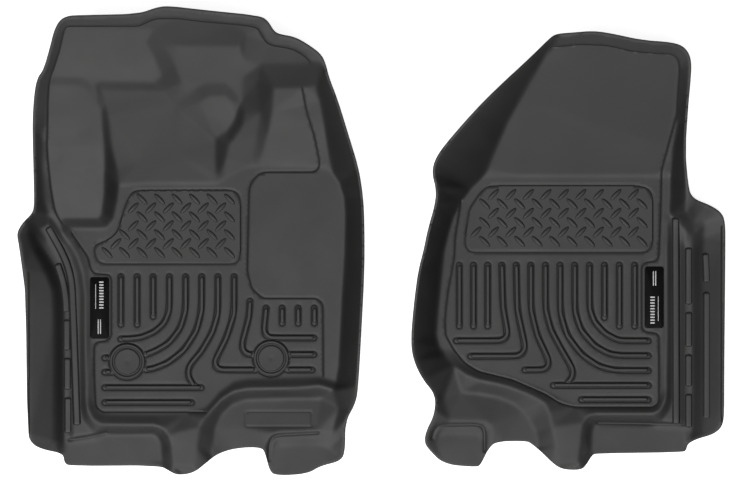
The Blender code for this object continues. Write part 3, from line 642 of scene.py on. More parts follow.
def upper_face(relief, rim, bores, grooves, pad, badge, beads, folds):
    """A liner's upper face: plan, heights, triangles, and the indices along its rim and its bores."""
    settings = looks().liner
    edge, lip = settings.edge_round / MM, settings.lip / MM
    half, depth = settings.groove_width / MM / 2, settings.groove_depth / MM

    face = Plan()
    outline = face.row(rim, edge, closed=True)
    for inset in (edge * 0.3, edge):
        face.row(sideways(rim, inset, True), edge - math.sqrt(edge ** 2 - (edge - inset) ** 2), tied=False)
    face.row(sideways(rim, lip, True), 0.0, tied=False)
    rings = [face.row(bore, 0.0, closed=True) for bore in bores]
    for line, closed, share in grooves:
        path = resampled(line, GROOVE_SPACING, closed)
        face.row(path, depth * share, closed=closed)
        for side in (-half, half):
            face.row(sideways(path, side, closed), 0.0, tied=False)

    low, high = (np.array(corner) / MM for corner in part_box(badge))
    recess_drop = FLOOR - low[2] + GAP
    brim = smoothed(rectangle((low + high)[:2] / 2, (high - low)[:2] + 2 * BADGE_MARGIN), 4.0, 2.0, True)
    face.row(brim, 0.0, closed=True)
    sunk = sideways(brim, 0.35, True)
    face.row(sunk, recess_drop, closed=True)

    for bead in beads:
        for distance in MOAT_ROWS:
            face.row(beside(bead, distance), 0.0, tied=False)
    for fold in folds:
        face.row(fold, 0.0, tied=False)
        for distance in CREASE_ROWS:
            face.row(beside(fold, distance), 0.0, tied=False)
    loose = filler(relief, rim, bores, settings.spacing / MM, UPPER_BEND)
    face.row(face.scatter(loose, UPPER_CLEAR), 0.0, tied=False)
    plan, drops, triangles = face.triangles(rim, bores)

    drops[inside(plan, [sunk - (sunk - sunk.mean(0)) * 0.002])] = recess_drop
    drops[inside(plan, [pad])] -= settings.pad_rise / MM
    from_moat = (distance_to(plan, beads) - RIB_MOAT) / RIB_MOAT_WIDTH
    drops += looks().ribs.moat_depth / MM * np.exp(-from_moat ** 2)
    drops += settings.crease_depth / MM * np.exp(-(distance_to(plan, folds) / CREASE_WIDTH) ** 2)
    heights = relief.at(plan)
    level = np.tile(relief.at(sideways(rim, lip, True)), 3)
    heights[:len(level)] = np.minimum(heights[:len(level)], level)
    return plan, heights - drops, triangles, outline, rings


def lower_face(relief, rim, bores, rim_heights):
    """A liner's lower face, one thickness below the relief and never under the carpet."""
    face = Plan()
    outline = face.row(rim, 0.0, closed=True)
    rings = [face.row(bore, 0.0, closed=True) for bore in bores]
    loose = filler(relief, rim, bores, looks().liner.spacing / MM * LOWER_COARSER, LOWER_BEND)
    face.row(face.scatter(loose, LOWER_CLEAR), 0.0, tied=False)
    plan, _, triangles = face.triangles(rim, bores)
    heights = relief.at(plan) - WALL / np.maximum(relief.upward(plan), STEEPEST)
    heights[:len(rim)] = np.minimum(heights[:len(rim)], rim_heights - WALL * RIM_THINNING)
    return plan, np.maximum(heights, 0.0), triangles[:, ::-1], outline, rings


def closed_skin(name, upper, lower):
    """Join two faces by walls along their rims and bores."""
    places = np.vstack([np.column_stack(face[:2]) for face in (upper, lower)])
    first = len(upper[0])
    faces = upper[2].tolist() + (lower[2] + first).tolist()
    borders = [(upper[3], lower[3], 1)] + [(top, bottom, -1) for top, bottom in zip(upper[4], lower[4])]
    for top, bottom, turn in borders:
        for index in range(len(top)):
            after = (index + 1) % len(top)
            wall = [bottom[index] + first, bottom[after] + first, top[after], top[index]]
            faces.append(wall[::turn])

    mesh = bpy.data.meshes.new(name)
    mesh.from_pydata((places * MM).tolist(), [], faces)
    shape = bmesh.new()
    shape.from_mesh(mesh)
    bpy.data.meshes.remove(mesh)
    stray = [vert for vert in shape.verts if not vert.link_faces]
    bmesh.ops.delete(shape, geom=stray, context="VERTS")
    return object_from(shape, name, SHARP_FOLD)


# ---------------------------------------------------------------- pieces
def linked(name, data):
    """Put a new object in the scene."""
    made = bpy.data.objects.new(name, data)
    bpy.context.scene.collection.objects.link(made)
    return made


def object_from(shape, name, sharp=40):
    """Turn a bmesh into a smooth-shaded object whose edges past an angle in degrees are sharp."""
    mesh = bpy.data.meshes.new(name)
    shape.to_mesh(mesh)
    shape.free()
    mesh.shade_smooth()
    mesh.set_sharp_from_angle(angle=math.radians(sharp))
    return linked(name, mesh)


def dress(piece, kind, body, stands_for=()):
    """Give a finished piece its plastic and the body it rides on, and hide the CAD nodes it stands for."""
    piece.data.materials.clear()
    piece.data.materials.append(plastic(kind))
    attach(piece, body)
    if stands_for:
        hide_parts(*stands_for)
    return piece


def path_mesh(name, lines):
    """A mesh of edges only, along lines of (x, y, z) in millimetres."""
    places, edges = [], []
    for line in lines:
        first = len(places)
        places += [tuple(float(value) * MM for value in point) for point in line]
        edges += [(first + index, first + index + 1) for index in range(len(line) - 1)]
    mesh = bpy.data.meshes.new(name)
    mesh.from_pydata(places, edges, [])
    return mesh


def grow(side, kind, source, tree, **values):
    """Run a geometry tree on a mesh, and keep the result as a plain piece of a liner."""
    name = f"{side}_{kind}"
    values["Material"] = plastic("liner")
    carrier = linked(name + "_source", source)
    modifier = carrier.modifiers.new(tree.name, "NODES")
    modifier.node_group = tree
    for item in tree.interface.items_tree:
        label = item.name.replace(" ", "_")
        if item.in_out == "INPUT" and label in values:
            modifier[item.identifier] = values[label]
    graph = bpy.context.evaluated_depsgraph_get()
    mesh = bpy.data.meshes.new_from_object(carrier.evaluated_get(graph), depsgraph=graph)
    bpy.data.objects.remove(carrier)
    bpy.data.meshes.remove(source)
    if not mesh.polygons:
        raise RuntimeError(f"the tree {tree.name} made nothing for {name}")
    mesh.name = name
    return dress(linked(name, mesh), "liner", f"{side}_mat")


def turned_piece(name, centre, profile, segments):
    """Turn a closed profile of (radius, height) points in millimetres about an upright axis."""
    shape = bmesh.new()
    corners = [shape.verts.new((radius * MM, 0, height * MM)) for radius, height in profile]
    edges = [shape.edges.new(pair) for pair in zip(corners, corners[1:] + corners[:1])
             if pair[0].co.x > 1e-6 or pair[1].co.x > 1e-6]
    bmesh.ops.spin(shape, geom=corners + edges, cent=(0, 0, 0), axis=(0, 0, 1), angle=2 * math.pi,
                   steps=segments, use_merge=True)
    bmesh.ops.remove_doubles(shape, verts=shape.verts, dist=1e-6)
    bmesh.ops.recalc_face_normals(shape, faces=shape.faces)
    if shape.calc_volume(signed=True) < 0:
        bmesh.ops.reverse_faces(shape, faces=shape.faces)
    bmesh.ops.translate(shape, verts=shape.verts, vec=(centre[0] * MM, centre[1] * MM, 0))
    return object_from(shape, name)


def slab(shape, outline, low, high, edge):
    """Add a closed plate with an eased upper edge to a bmesh, from an outline in millimetres."""
    centre = outline.mean(0)
    rings = [(outline, low), (outline, high - edge), (sideways(outline, edge * 0.3, True), high - edge * 0.3),
             (sideways(outline, edge, True), high)]
    loops = [[shape.verts.new((x * MM, y * MM, height * MM)) for x, y in ring] for ring, height in rings]
    for lower, upper in zip(loops, loops[1:]):
        for index in range(len(lower)):
            after = (index + 1) % len(lower)
            shape.faces.new((lower[index], lower[after], upper[after], upper[index]))
    for loop, height, flip in ((loops[0], low, True), (loops[-1], high, False)):
        hub = shape.verts.new((centre[0] * MM, centre[1] * MM, height * MM))
        for index in range(len(loop)):
            pair = (loop[index], loop[(index + 1) % len(loop)])
            shape.faces.new((*(pair[::-1] if flip else pair), hub))


# ---------------------------------------------------------------- node wiring
class Wiring:
    """A node tree that is built from left to right."""

    def __init__(self, tree):
        self.tree = tree
        self.column = 0

    def feed(self, socket, value):
        """Link a socket to another, or set its value."""
        if isinstance(value, bpy.types.NodeSocket):
            self.tree.links.new(value, socket)
        else:
            socket.default_value = value

    def add(self, kind, **values):
        """Add a node. Names in small letters are its settings, the others its inputs, with _ for a space."""
        node = self.tree.nodes.new(kind)
        node.location = (self.column * 190, 0)
        self.column += 1
        for name, value in values.items():
            if name.islower():
                setattr(node, name, value)
            else:
                self.feed(node.inputs[name.replace("_", " ")], value)
        return node

    def result(self, kind, values, **settings):
        """Add a node, feed its inputs in order, and return its first output."""
        node = self.add(kind, **settings)
        for socket, value in zip(node.inputs, values):
            self.feed(socket, value)
        return node.outputs[0]

    def math(self, operation, *values):
        """Work on numbers."""
        return self.result("ShaderNodeMath", values, operation=operation)

    def vector_math(self, operation, *values):
        """Work on vectors."""
        return self.result("ShaderNodeVectorMath", values, operation=operation)

    def vector(self, x, y, z):
        """Join three values into a vector."""
        return self.result("ShaderNodeCombineXYZ", (x, y, z))

    def spread(self, value, low, high, to_low, to_high):
        """Map a value from one range to another, clamped."""
        return self.result("ShaderNodeMapRange", (value, low, high, to_low, to_high))

    def blend(self, share, first, second):
        """Mix two colours."""
        node = self.add("ShaderNodeMix", data_type="RGBA")
        for index, value in ((0, share), (6, first), (7, second)):
            self.feed(node.inputs[index], value)
        return node.outputs[2]


FLOAT, GEOMETRY, MATERIAL = "NodeSocketFloat", "NodeSocketGeometry", "NodeSocketMaterial"


def new_group(name, kind, inputs, outputs):
    """Start a node group with named sockets, and return its wiring, inputs and output node."""
    tree = bpy.data.node_groups.new(name, kind)
    for label, socket, value in inputs:
        made = tree.interface.new_socket(label, in_out="INPUT", socket_type=socket)
        if value is not None:
            made.default_value = value
    for label, socket in outputs:
        tree.interface.new_socket(label, in_out="OUTPUT", socket_type=socket)
    wiring = Wiring(tree)
    start = wiring.add("NodeGroupInput")
    end = tree.nodes.new("NodeGroupOutput")
    return wiring, start.outputs, end


def geometry_group(name, inputs):
    """Start a geometry tree on a mesh, with a material."""
    inputs = [("Geometry", GEOMETRY, None), *inputs, ("Material", MATERIAL, None)]
    return new_group(name, "GeometryNodeTree", inputs, [("Geometry", GEOMETRY)])


def close_tree(wiring, end, geometry, material):
    """End a geometry tree with real meshes, smooth faces and a material."""
    real = wiring.add("GeometryNodeRealizeInstances", Geometry=geometry)
    smooth = wiring.add("GeometryNodeSetShadeSmooth", Geometry=real.outputs[0])
    done = wiring.add("GeometryNodeSetMaterial", Geometry=smooth.outputs[0], Material=material)
    end.location = (wiring.column * 190, 0)
    wiring.feed(end.inputs[0], done.outputs[0])
    return wiring.tree


def bead_tree():
    """A raised bead with round ends along every path of a mesh."""
    wiring, given, end = geometry_group(
        "Bead along a path",
        [("Width", FLOAT, 0.01), ("Rise", FLOAT, 0.002), ("Sunk", FLOAT, 0.001), ("Flank", FLOAT, 0.001),
         ("Nose", FLOAT, 0.005), ("Bend Radius", FLOAT, 0.02), ("Spacing", FLOAT, 0.002)])
    curve = wiring.add("GeometryNodeMeshToCurve", Mesh=given["Geometry"])
    bent = wiring.add("GeometryNodeFilletCurve", mode="POLY", Curve=curve.outputs[0], Count=6,
                      Radius=given["Bend Radius"], Limit_Radius=True)
    even = wiring.add("GeometryNodeResampleCurve", mode="LENGTH", Curve=bent.outputs[0],
                      Length=given["Spacing"])
    along = wiring.add("GeometryNodeSplineParameter").outputs["Length"]
    total = wiring.add("GeometryNodeSplineLength").outputs["Length"]
    to_end = wiring.math("MINIMUM", along, wiring.math("SUBTRACT", total, along))
    share = wiring.spread(to_end, 0.0, given["Nose"], 1.0, 0.0)
    nose = wiring.math("SQRT", wiring.math("SUBTRACT", 1.0, wiring.math("MULTIPLY", share, share)))
    nose = wiring.math("MAXIMUM", nose, 0.03)
    upright = wiring.add("GeometryNodeSetCurveNormal", mode="Z_UP", Curve=even.outputs[0])
    tapered = wiring.add("GeometryNodeSetCurveRadius", Curve=upright.outputs[0], Radius=nose)
    height = wiring.math("ADD", given["Rise"], given["Sunk"])
    top = wiring.math("SUBTRACT", given["Width"], wiring.math("MULTIPLY", given["Flank"], 2.0))
    profile = wiring.add("GeometryNodeCurvePrimitiveQuadrilateral", mode="TRAPEZOID", Bottom_Width=top,
                         Top_Width=given["Width"], Offset=0.0, Height=height)
    lift = wiring.math("SUBTRACT", given["Sunk"], wiring.math("MULTIPLY", height, 0.5))
    eased = wiring.add("GeometryNodeFilletCurve", mode="POLY", Curve=profile.outputs[0], Count=3,
                       Radius=wiring.math("MULTIPLY", given["Rise"], 0.35), Limit_Radius=True)
    seated = wiring.add("GeometryNodeTransform", Geometry=eased.outputs[0],
                        Translation=wiring.vector(0.0, lift, 0.0))
    swept = wiring.add("GeometryNodeCurveToMesh", Curve=tapered.outputs[0],
                       Profile_Curve=seated.outputs[0], Fill_Caps=True)
    if "Scale" in swept.inputs:
        wiring.feed(swept.inputs["Scale"], nose)
    return close_tree(wiring, end, swept.outputs[0], given["Material"])


def tread_tree():
    """Raised lozenges in crossed rows over a flat face."""
    wiring, given, end = geometry_group(
        "Tread over a face",
        [("Length", FLOAT, 0.02), ("Width", FLOAT, 0.006), ("Rise", FLOAT, 0.001), ("Slant", FLOAT, 0.9),
         ("Pitch Across", FLOAT, 0.03), ("Pitch Along", FLOAT, 0.03),
         ("Start", "NodeSocketVector", (0.0, 0.0, 0.0))])
    pitches = (given["Pitch Across"], given["Pitch Along"])
    box = wiring.add("GeometryNodeBoundBox", Geometry=given["Geometry"])
    size = wiring.add("ShaderNodeSeparateXYZ", Vector=wiring.vector_math(
        "SUBTRACT", box.outputs["Max"], box.outputs["Min"]))
    counts = [wiring.math("ADD", wiring.math("FLOOR", wiring.math("DIVIDE", length, pitch)), 3.0)
              for length, pitch in zip(size.outputs, pitches)]
    sides = [wiring.math("MULTIPLY", wiring.math("SUBTRACT", count, 1.0), pitch)
             for count, pitch in zip(counts, pitches)]
    lattice = wiring.add("GeometryNodeMeshGrid", Size_X=sides[0], Size_Y=sides[1], Vertices_X=counts[0],
                         Vertices_Y=counts[1])
    halves = [wiring.math("MULTIPLY", side, 0.5) for side in sides]
    centre = wiring.vector_math("ADD", given["Start"], wiring.vector(*halves, 0.0))
    drop = wiring.add("GeometryNodeMeshUVSphere", Segments=16, Rings=10, Radius=1.0)
    shaped = wiring.add("GeometryNodeTransform", Geometry=drop.outputs[0], Scale=wiring.vector(
        wiring.math("MULTIPLY", given["Length"], 0.5), wiring.math("MULTIPLY", given["Width"], 0.5),
        given["Rise"]))
    joined = wiring.add("GeometryNodeJoinGeometry")
    position = wiring.add("GeometryNodeInputPosition").outputs[0]
    above = wiring.vector_math("ADD", position, (0.0, 0.0, 0.01))
    for turn in (1.0, -1.0):
        shift = [wiring.math("MULTIPLY", pitch, 0.25 * turn) for pitch in pitches]
        place = wiring.vector_math("ADD", centre, wiring.vector(*shift, 0.0))
        moved = wiring.add("GeometryNodeTransform", Geometry=lattice.outputs[0], Translation=place)
        ray = wiring.add("GeometryNodeRaycast", Target_Geometry=given["Geometry"], Source_Position=above,
                         Ray_Direction=(0.0, 0.0, -1.0), Ray_Length=0.1)
        points = wiring.add("GeometryNodeInstanceOnPoints", Points=moved.outputs[0],
                            Selection=ray.outputs["Is Hit"], Instance=shaped.outputs[0],
                            Rotation=wiring.vector(0.0, 0.0, wiring.math("MULTIPLY", given["Slant"], -turn)))
        wiring.feed(joined.inputs[0], points.outputs[0])
    return close_tree(wiring, end, joined.outputs[0], given["Material"])


def cleat_tree():
    """A tapered cleat that hangs from every point of a mesh."""
    wiring, given, end = geometry_group(
        "Cleats at points",
        [("Tip Radius", FLOAT, 0.0025), ("Root Radius", FLOAT, 0.005), ("Height", FLOAT, 0.01)])
    cone = wiring.add("GeometryNodeMeshCone", Vertices=20, Side_Segments=3, Fill_Segments=2,
                      Radius_Top=given["Root Radius"], Radius_Bottom=given["Tip Radius"],
                      Depth=given["Height"])
    points = wiring.add("GeometryNodeInstanceOnPoints", Points=given["Geometry"], Instance=cone.outputs[0])
    return close_tree(wiring, end, points.outputs[0], given["Material"])


# ---------------------------------------------------------------- shader groups and materials
def object_place(wiring):
    """Coordinates that follow a piece."""
    return wiring.add("ShaderNodeTexCoord").outputs["Object"]


def grain_group():
    """Fine texture of a moulded face, and the slow changes of its gloss."""
    wiring, given, end = new_group(
        "Moulded grain", "ShaderNodeTree",
        [("Grain Scale", FLOAT, 1400.0), ("Cell Share", FLOAT, 0.5)],
        [("Height", FLOAT), ("Mottle", FLOAT)])
    place = object_place(wiring)
    cells = wiring.add("ShaderNodeTexVoronoi", feature="SMOOTH_F1", Vector=place, Scale=given["Grain Scale"])
    fine = wiring.add("ShaderNodeTexNoise", Vector=place, Detail=3.0,
                      Scale=wiring.math("MULTIPLY", given["Grain Scale"], 0.6))
    cell_part = wiring.math("MULTIPLY", cells.outputs["Distance"], given["Cell Share"])
    slow = wiring.add("ShaderNodeTexNoise", Vector=place, Scale=9.0, Detail=4.0, Roughness=0.6)
    wiring.feed(end.inputs["Height"], wiring.math("ADD", cell_part, fine.outputs[0]))
    wiring.feed(end.inputs["Mottle"], wiring.spread(slow.outputs[0], 0.3, 0.7, 0.0, 1.0))
    return wiring.tree


def wear_and_shade_group():
    """Masks of rubbed edges, and of hollow corners that are darkened there as painted shade."""
    wiring, given, end = new_group(
        "Edge wear", "ShaderNodeTree", [("Edge Start", FLOAT, 0.53), ("Edge End", FLOAT, 0.6)],
        [("Worn", FLOAT), ("Hollow", FLOAT)])
    point = wiring.add("ShaderNodeNewGeometry").outputs["Pointiness"]
    patches = wiring.add("ShaderNodeTexNoise", Vector=object_place(wiring), Scale=55.0, Detail=5.0,
                         Roughness=0.7)
    edge = wiring.spread(point, given["Edge Start"], given["Edge End"], 0.0, 1.0)
    broken = wiring.spread(patches.outputs[0], 0.35, 0.65, 0.25, 1.0)
    wiring.feed(end.inputs["Worn"], wiring.math("MULTIPLY", edge, broken))
    # painted shade: this mask rises where pointiness falls, in concave corners and creases
    wiring.feed(end.inputs["Hollow"], wiring.spread(point, 0.49, 0.42, 0.0, 1.0))
    return wiring.tree


def dust_group():
    """A mask of fine dust that settles on level faces."""
    wiring, given, end = new_group(
        "Settled dust", "ShaderNodeTree", [("Amount", FLOAT, 0.1)], [("Dust", FLOAT)])
    normal = wiring.add("ShaderNodeSeparateXYZ", Vector=wiring.add("ShaderNodeNewGeometry").outputs["Normal"])
    clouds = wiring.add("ShaderNodeTexNoise", Vector=object_place(wiring), Scale=14.0, Detail=7.0,
                        Roughness=0.65)
    level = wiring.spread(normal.outputs["Z"], 0.75, 1.0, 0.0, 1.0)
    cloud = wiring.spread(clouds.outputs[0], 0.42, 0.75, 0.0, 1.0)
    dust = wiring.math("MULTIPLY", wiring.math("MULTIPLY", level, cloud), given["Amount"])
    wiring.feed(end.inputs["Dust"], dust)
    return wiring.tree


def shared(name, maker):
    """A node tree that is built once."""
    return bpy.data.node_groups.get(name) or maker()


def tint(colour, factor, lift=0.0):
    """A colour made darker or lighter, with an alpha of 1."""
    return (*(min(part * factor + lift, 1.0) for part in colour), 1.0)


DUST_COLOUR = (0.16, 0.15, 0.14, 1.0)
PLASTICS = {   # material name, roughness, grains a metre, grain depth, wear, dust, specular level
    "liner": ("Liner plastic", 0.55, 1500.0, 0.00025, 0.35, 0.04, 0.5),
    "cap": ("Cap plastic", 0.58, 2200.0, 0.00012, 0.35, 0.03, 0.5),
    "lock": ("Lock plastic", 0.42, 2600.0, 0.00008, 0.3, 0.0, 0.5),
    "badge": ("Badge plastic", 0.5, 3000.0, 0.00002, 0.1, 0.0, 0.06),
    "ink": ("Badge marks", 0.45, 3000.0, 0.00002, 0.0, 0.0, 0.5),
}


def plastic(kind):
    """A moulded plastic with grain, rubbed edges, painted shade in its hollows and a trace of dust."""
    name, roughness, grain_scale, grain_depth, wear, dust, level = PLASTICS[kind]
    known = bpy.data.materials.get(name)
    if known:
        return known
    colour = tuple(getattr(looks().finish, kind))
    material = bpy.data.materials.new(name)
    material.use_nodes = True
    wiring = Wiring(material.node_tree)
    shader = material.node_tree.nodes["Principled BSDF"]
    grain = wiring.add("ShaderNodeGroup", node_tree=shared("Moulded grain", grain_group),
                       Grain_Scale=grain_scale, Cell_Share=0.6)
    # this group gives both the rubbed-edge wear mask and the painted-shade mask of the hollows
    edges = wiring.add("ShaderNodeGroup", node_tree=shared("Edge wear", wear_and_shade_group),
                       Edge_Start=0.53, Edge_End=0.6)
    settled = wiring.add("ShaderNodeGroup", node_tree=shared("Settled dust", dust_group), Amount=dust)
    base = wiring.blend(grain.outputs["Mottle"], tint(colour, 0.94), tint(colour, 1.06))
    # painted shade: concave hollows are mixed halfway towards a tone at 55% of the plastic's colour
    base = wiring.blend(wiring.math("MULTIPLY", edges.outputs["Hollow"], 0.5), base, tint(colour, 0.55))
    base = wiring.blend(wiring.math("MULTIPLY", edges.outputs["Worn"], wear), base, tint(colour, 1.5, 0.01))
    base = wiring.blend(settled.outputs["Dust"], base, DUST_COLOUR)
    gloss = wiring.spread(grain.outputs["Mottle"], 0.0, 1.0, roughness - 0.04, roughness + 0.05)
    gloss = wiring.math("SUBTRACT", gloss, wiring.math("MULTIPLY", edges.outputs["Worn"], 0.12 * wear))
    bump = wiring.add("ShaderNodeBump", Strength=0.35, Distance=grain_depth, Height=grain.outputs["Height"])
    wiring.feed(shader.inputs["Base Color"], base)
    wiring.feed(shader.inputs["Roughness"], gloss)
    wiring.feed(shader.inputs["Normal"], bump.outputs[0])
    shader.inputs["Specular IOR Level"].default_value = level
    material.diffuse_color = (*colour, 1.0)
    return material


def looks():
    """The scene's settings for this set."""
    return bpy.context.scene.floor_liner_looks


# ---------------------------------------------------------------- operators
RELIEFS = {}


def make_liner(side, grooves, pad, holes, ribs, creases):
    """Mould one liner and keep its relief for the pieces that follow it."""
    rim = smoothed(rim_loop(f"{side}_liner"), RIM_CORNER, RIM_SPACING, True)
    bores, wider = ([circle(hole, radius, HOLE_POINTS) for hole in holes]
                    for radius in (POST_HOLE_RADIUS, POST_HOLE_RADIUS + HOLE_MARGIN))
    relief = RELIEFS[side] = Relief(f"{side}_liner", rim, wider, looks().liner.fold / MM)

    lines = [(rounded(placed(line), GROOVE_CORNER, False), False, 1.0) for line in grooves]
    lines.append((rounded(placed(pad), GROOVE_CORNER, True), True, 1.0))
    if side == "driver":
        lines.append((rounded(placed(LABEL_PANEL), LABEL_CORNER, True), True, LABEL_SHARE))
    beads = [smoothed(trimmed(placed(path), RIB_TRIM), RIB_CORNER, LINE_SPACING, steps=6) for path in ribs]
    for hole in holes:
        ring = circle(hole, RING_MOAT - RIB_MOAT, 96)
        beads.append(np.vstack([ring, ring[:1]]))
    folds = [smoothed(placed(path), CREASE_CORNER, LINE_SPACING, steps=6) for path in creases]

    upper = upper_face(relief, rim, bores, lines, placed(pad), f"{side}_badge", beads, folds)
    lower = lower_face(relief, rim, bores, upper[1][:len(rim)])
    piece = closed_skin(f"{side}_moulding", upper, lower)
    dress(piece, "liner", f"{side}_mat", [f"{side}_liner"])


class FLOORLINER_OT_driver_liner(Operator):
    """Mould the driver's liner, with its dead pedal and two post holes"""
    bl_idname = "floor_liner.driver_liner"
    bl_label = "Driver's liner"

    def execute(self, context):
        holes = [middle("outer_bezel"), middle("inner_bezel")]
        make_liner("driver", DRIVER_GROOVES.values(), DRIVER_HEEL_PAD, holes, DRIVER_RIBS, DRIVER_CREASES)
        return {"FINISHED"}


class FLOORLINER_OT_passenger_liner(Operator):
    """Mould the passenger's liner, with its wide toe board"""
    bl_idname = "floor_liner.passenger_liner"
    bl_label = "Passenger's liner"

    def execute(self, context):
        make_liner("passenger", PASSENGER_GROOVES.values(), PASSENGER_HEEL_PAD, [], PASSENGER_RIBS,
                   PASSENGER_CREASES)
        return {"FINISHED"}


class FLOORLINER_OT_ribs(Operator):
    """Sweep the floor ribs of both liners"""
    bl_idname = "floor_liner.ribs"
    bl_label = "Ribs"

    def execute(self, context):
        ribs = looks().ribs
        tree = shared("Bead along a path", bead_tree)
        for side, paths in (("driver", DRIVER_RIBS), ("passenger", PASSENGER_RIBS)):
            lines = [np.column_stack([trimmed(placed(path), RIB_TRIM), np.full(len(path), FLOOR)])
                     for path in paths]
            grow(side, "ribs", path_mesh("rib_paths", lines), tree, Width=ribs.width, Rise=ribs.rise,
                 Sunk=1.2 * MM, Flank=ribs.flank, Nose=ribs.width / 2, Bend_Radius=0.03, Spacing=1.7 * MM)
        return {"FINISHED"}


class FLOORLINER_OT_sill_pads(Operator):
    """Sweep the row of pads in the gutter beside each door sill, and the beads along it"""
    bl_idname = "floor_liner.sill_pads"
    bl_label = "Sill pads"

    def execute(self, context):
        ribs = looks().ribs
        tree = shared("Bead along a path", bead_tree)
        for side, kind, paths in (
                ("driver", "pads", DRIVER_SILL_PADS), ("driver", "beads", DRIVER_SILL_BEADS),
                ("passenger", "pads", PASSENGER_SILL_PADS), ("passenger", "beads", PASSENGER_SILL_BEADS)):
            lines = []
            for path in paths:
                plan = smoothed(placed(path), PAD_CORNER, 8.0)
                lines.append(np.column_stack([plan, RELIEFS[side].at(plan)]))
            grow(side, f"sill_{kind}", path_mesh("pad_paths", lines), tree, Width=ribs.pad_width,
                 Rise=ribs.pad_rise, Sunk=2.2 * MM, Flank=4.4 * MM, Nose=4.0 * MM, Bend_Radius=0.02,
                 Spacing=2.0 * MM)
        return {"FINISHED"}


class FLOORLINER_OT_tread(Operator):
    """Raise the lozenge tread on both heel pads"""
    bl_idname = "floor_liner.tread"
    bl_label = "Tread"

    def execute(self, context):
        tread = looks().tread
        tree = shared("Tread over a face", tread_tree)
        for side, pad, start, pitch in (
                ("driver", DRIVER_HEEL_PAD, DRIVER_TREAD_START, tread.driver_pitch),
                ("passenger", PASSENGER_HEEL_PAD, PASSENGER_TREAD_START, tread.passenger_pitch)):
            outline = sideways(resampled(placed(pad)[::-1], 6.0, True), TREAD_INSET, True)
            face = bpy.data.meshes.new("pad_face")
            height = FLOOR + looks().liner.pad_rise / MM
            corners = np.column_stack([outline, np.full(len(outline), height)]) * MM
            face.from_pydata(corners.tolist(), [], [list(range(len(corners)))])
            first = (*(placed([start])[0] * MM), height * MM)
            grow(side, "tread", face, tree, Length=tread.length, Width=tread.width, Rise=tread.rise,
                 Slant=tread.slant, Pitch_Across=pitch[0], Pitch_Along=pitch[1], Start=first)
        return {"FINISHED"}


class FLOORLINER_OT_cleats(Operator):
    """Hang the carpet cleats under both floors"""
    bl_idname = "floor_liner.cleats"
    bl_label = "Cleats"

    def execute(self, context):
        sizes = looks().retainers
        tree = shared("Cleats at points", cleat_tree)
        for side in ("driver", "passenger"):
            points = bpy.data.meshes.new("cleat_points")
            points.from_pydata(cleat_feet(f"{side}_liner", sizes.cleat_tip / MM), [], [])
            grow(side, "cleats", points, tree, Tip_Radius=sizes.cleat_tip, Root_Radius=sizes.cleat_root,
                 Height=(FLOOR - WALL / 2) * MM)
        return {"FINISHED"}


def cleat_feet(node, radius):
    """Where the CAD cleats meet the carpet: the middles of its small level faces at the bottom."""
    corners, normals = node_triangles(node)
    low = (corners[:, :, 2].max(axis=1) < 0.05) & (normals[:, 2] < -LEVEL)
    corners = corners[low].reshape(-1, 3)[:, :2]
    tips = []
    for corner in corners:
        group = corners[np.hypot(*(corners - corner).T) < 2.2 * radius]
        centre = (group.min(0) + group.max(0)) / 2
        round_foot = np.allclose(np.hypot(*(group - centre).T), radius, atol=0.3)
        if round_foot and not any(np.hypot(*(centre - tip)) < 1.0 for tip in tips):
            tips.append(centre)
    if not tips:
        raise RuntimeError(f"{node} has no cleats to follow")
    return [(x * MM, y * MM, 0.0) for x, y in tips]


class FLOORLINER_OT_retainers(Operator):
    """Turn the bezels and the quarter-turn caps"""
    bl_idname = "floor_liner.retainers"
    bl_label = "Retainers"

    def execute(self, context):
        segments = looks().retainers.segments
        for side in ("outer", "inner"):
            centre = middle(f"{side}_bezel")
            low, high = (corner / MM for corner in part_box(f"{side}_bezel"))
            rim, top = (high.x - low.x) / 2, high.z
            seat = FLOOR + GAP
            spigot = POST_HOLE_RADIUS - GAP
            ring = rounded([
                (24.8, seat + 0.9), (25.1, top - 2.5), (26.7, top), (28.4, top + 0.1), (29.8, top),
                (rim, top - 1.3), (rim, seat), (spigot, seat), (spigot, low.z), (SPIGOT_BORE, low.z),
                (SPIGOT_BORE, seat + 0.9)], 0.6, True, 3)
            piece = turned_piece(f"{side}_ring", centre, ring, segments)
            dress(piece, "cap", "driver_mat", [f"{side}_bezel"])

            low, high = (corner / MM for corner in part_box(f"{side}_cap"))
            rim, top = (high.x - low.x) / 2, high.z
            disc = rounded([
                (0, top - 0.35), (12, top - 0.25), (19.8, top), (21.4, top - 0.1), (23.3, top - 2.4),
                (rim, top - 3.2), (rim, seat + 1.2), (HUB_RADIUS, seat + 1.2), (HUB_RADIUS, low.z),
                (HUB_BORE, low.z), (HUB_BORE, seat + 1.0), (0, seat + 1.0)], 0.8, True, 3)
            disc[:, 0] = np.maximum(disc[:, 0], 0)
            piece = turned_piece(f"{side}_knob", centre, disc, segments)
            dress(piece, "cap", f"{side}_retainer_cap", [f"{side}_cap"])
        return {"FINISHED"}


class FLOORLINER_OT_lock_pieces(Operator):
    """Finish the backing rings and lock plates, which keep their CAD shape"""
    bl_idname = "floor_liner.lock_pieces"
    bl_label = "Lock pieces"

    def execute(self, context):
        for side in ("outer", "inner"):
            for kind in ("backing_ring", "lock_plate"):
                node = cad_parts[f"{side}_{kind}"]
                node.data.materials.clear()
                node.data.materials.append(plastic("lock"))
        return {"FINISHED"}


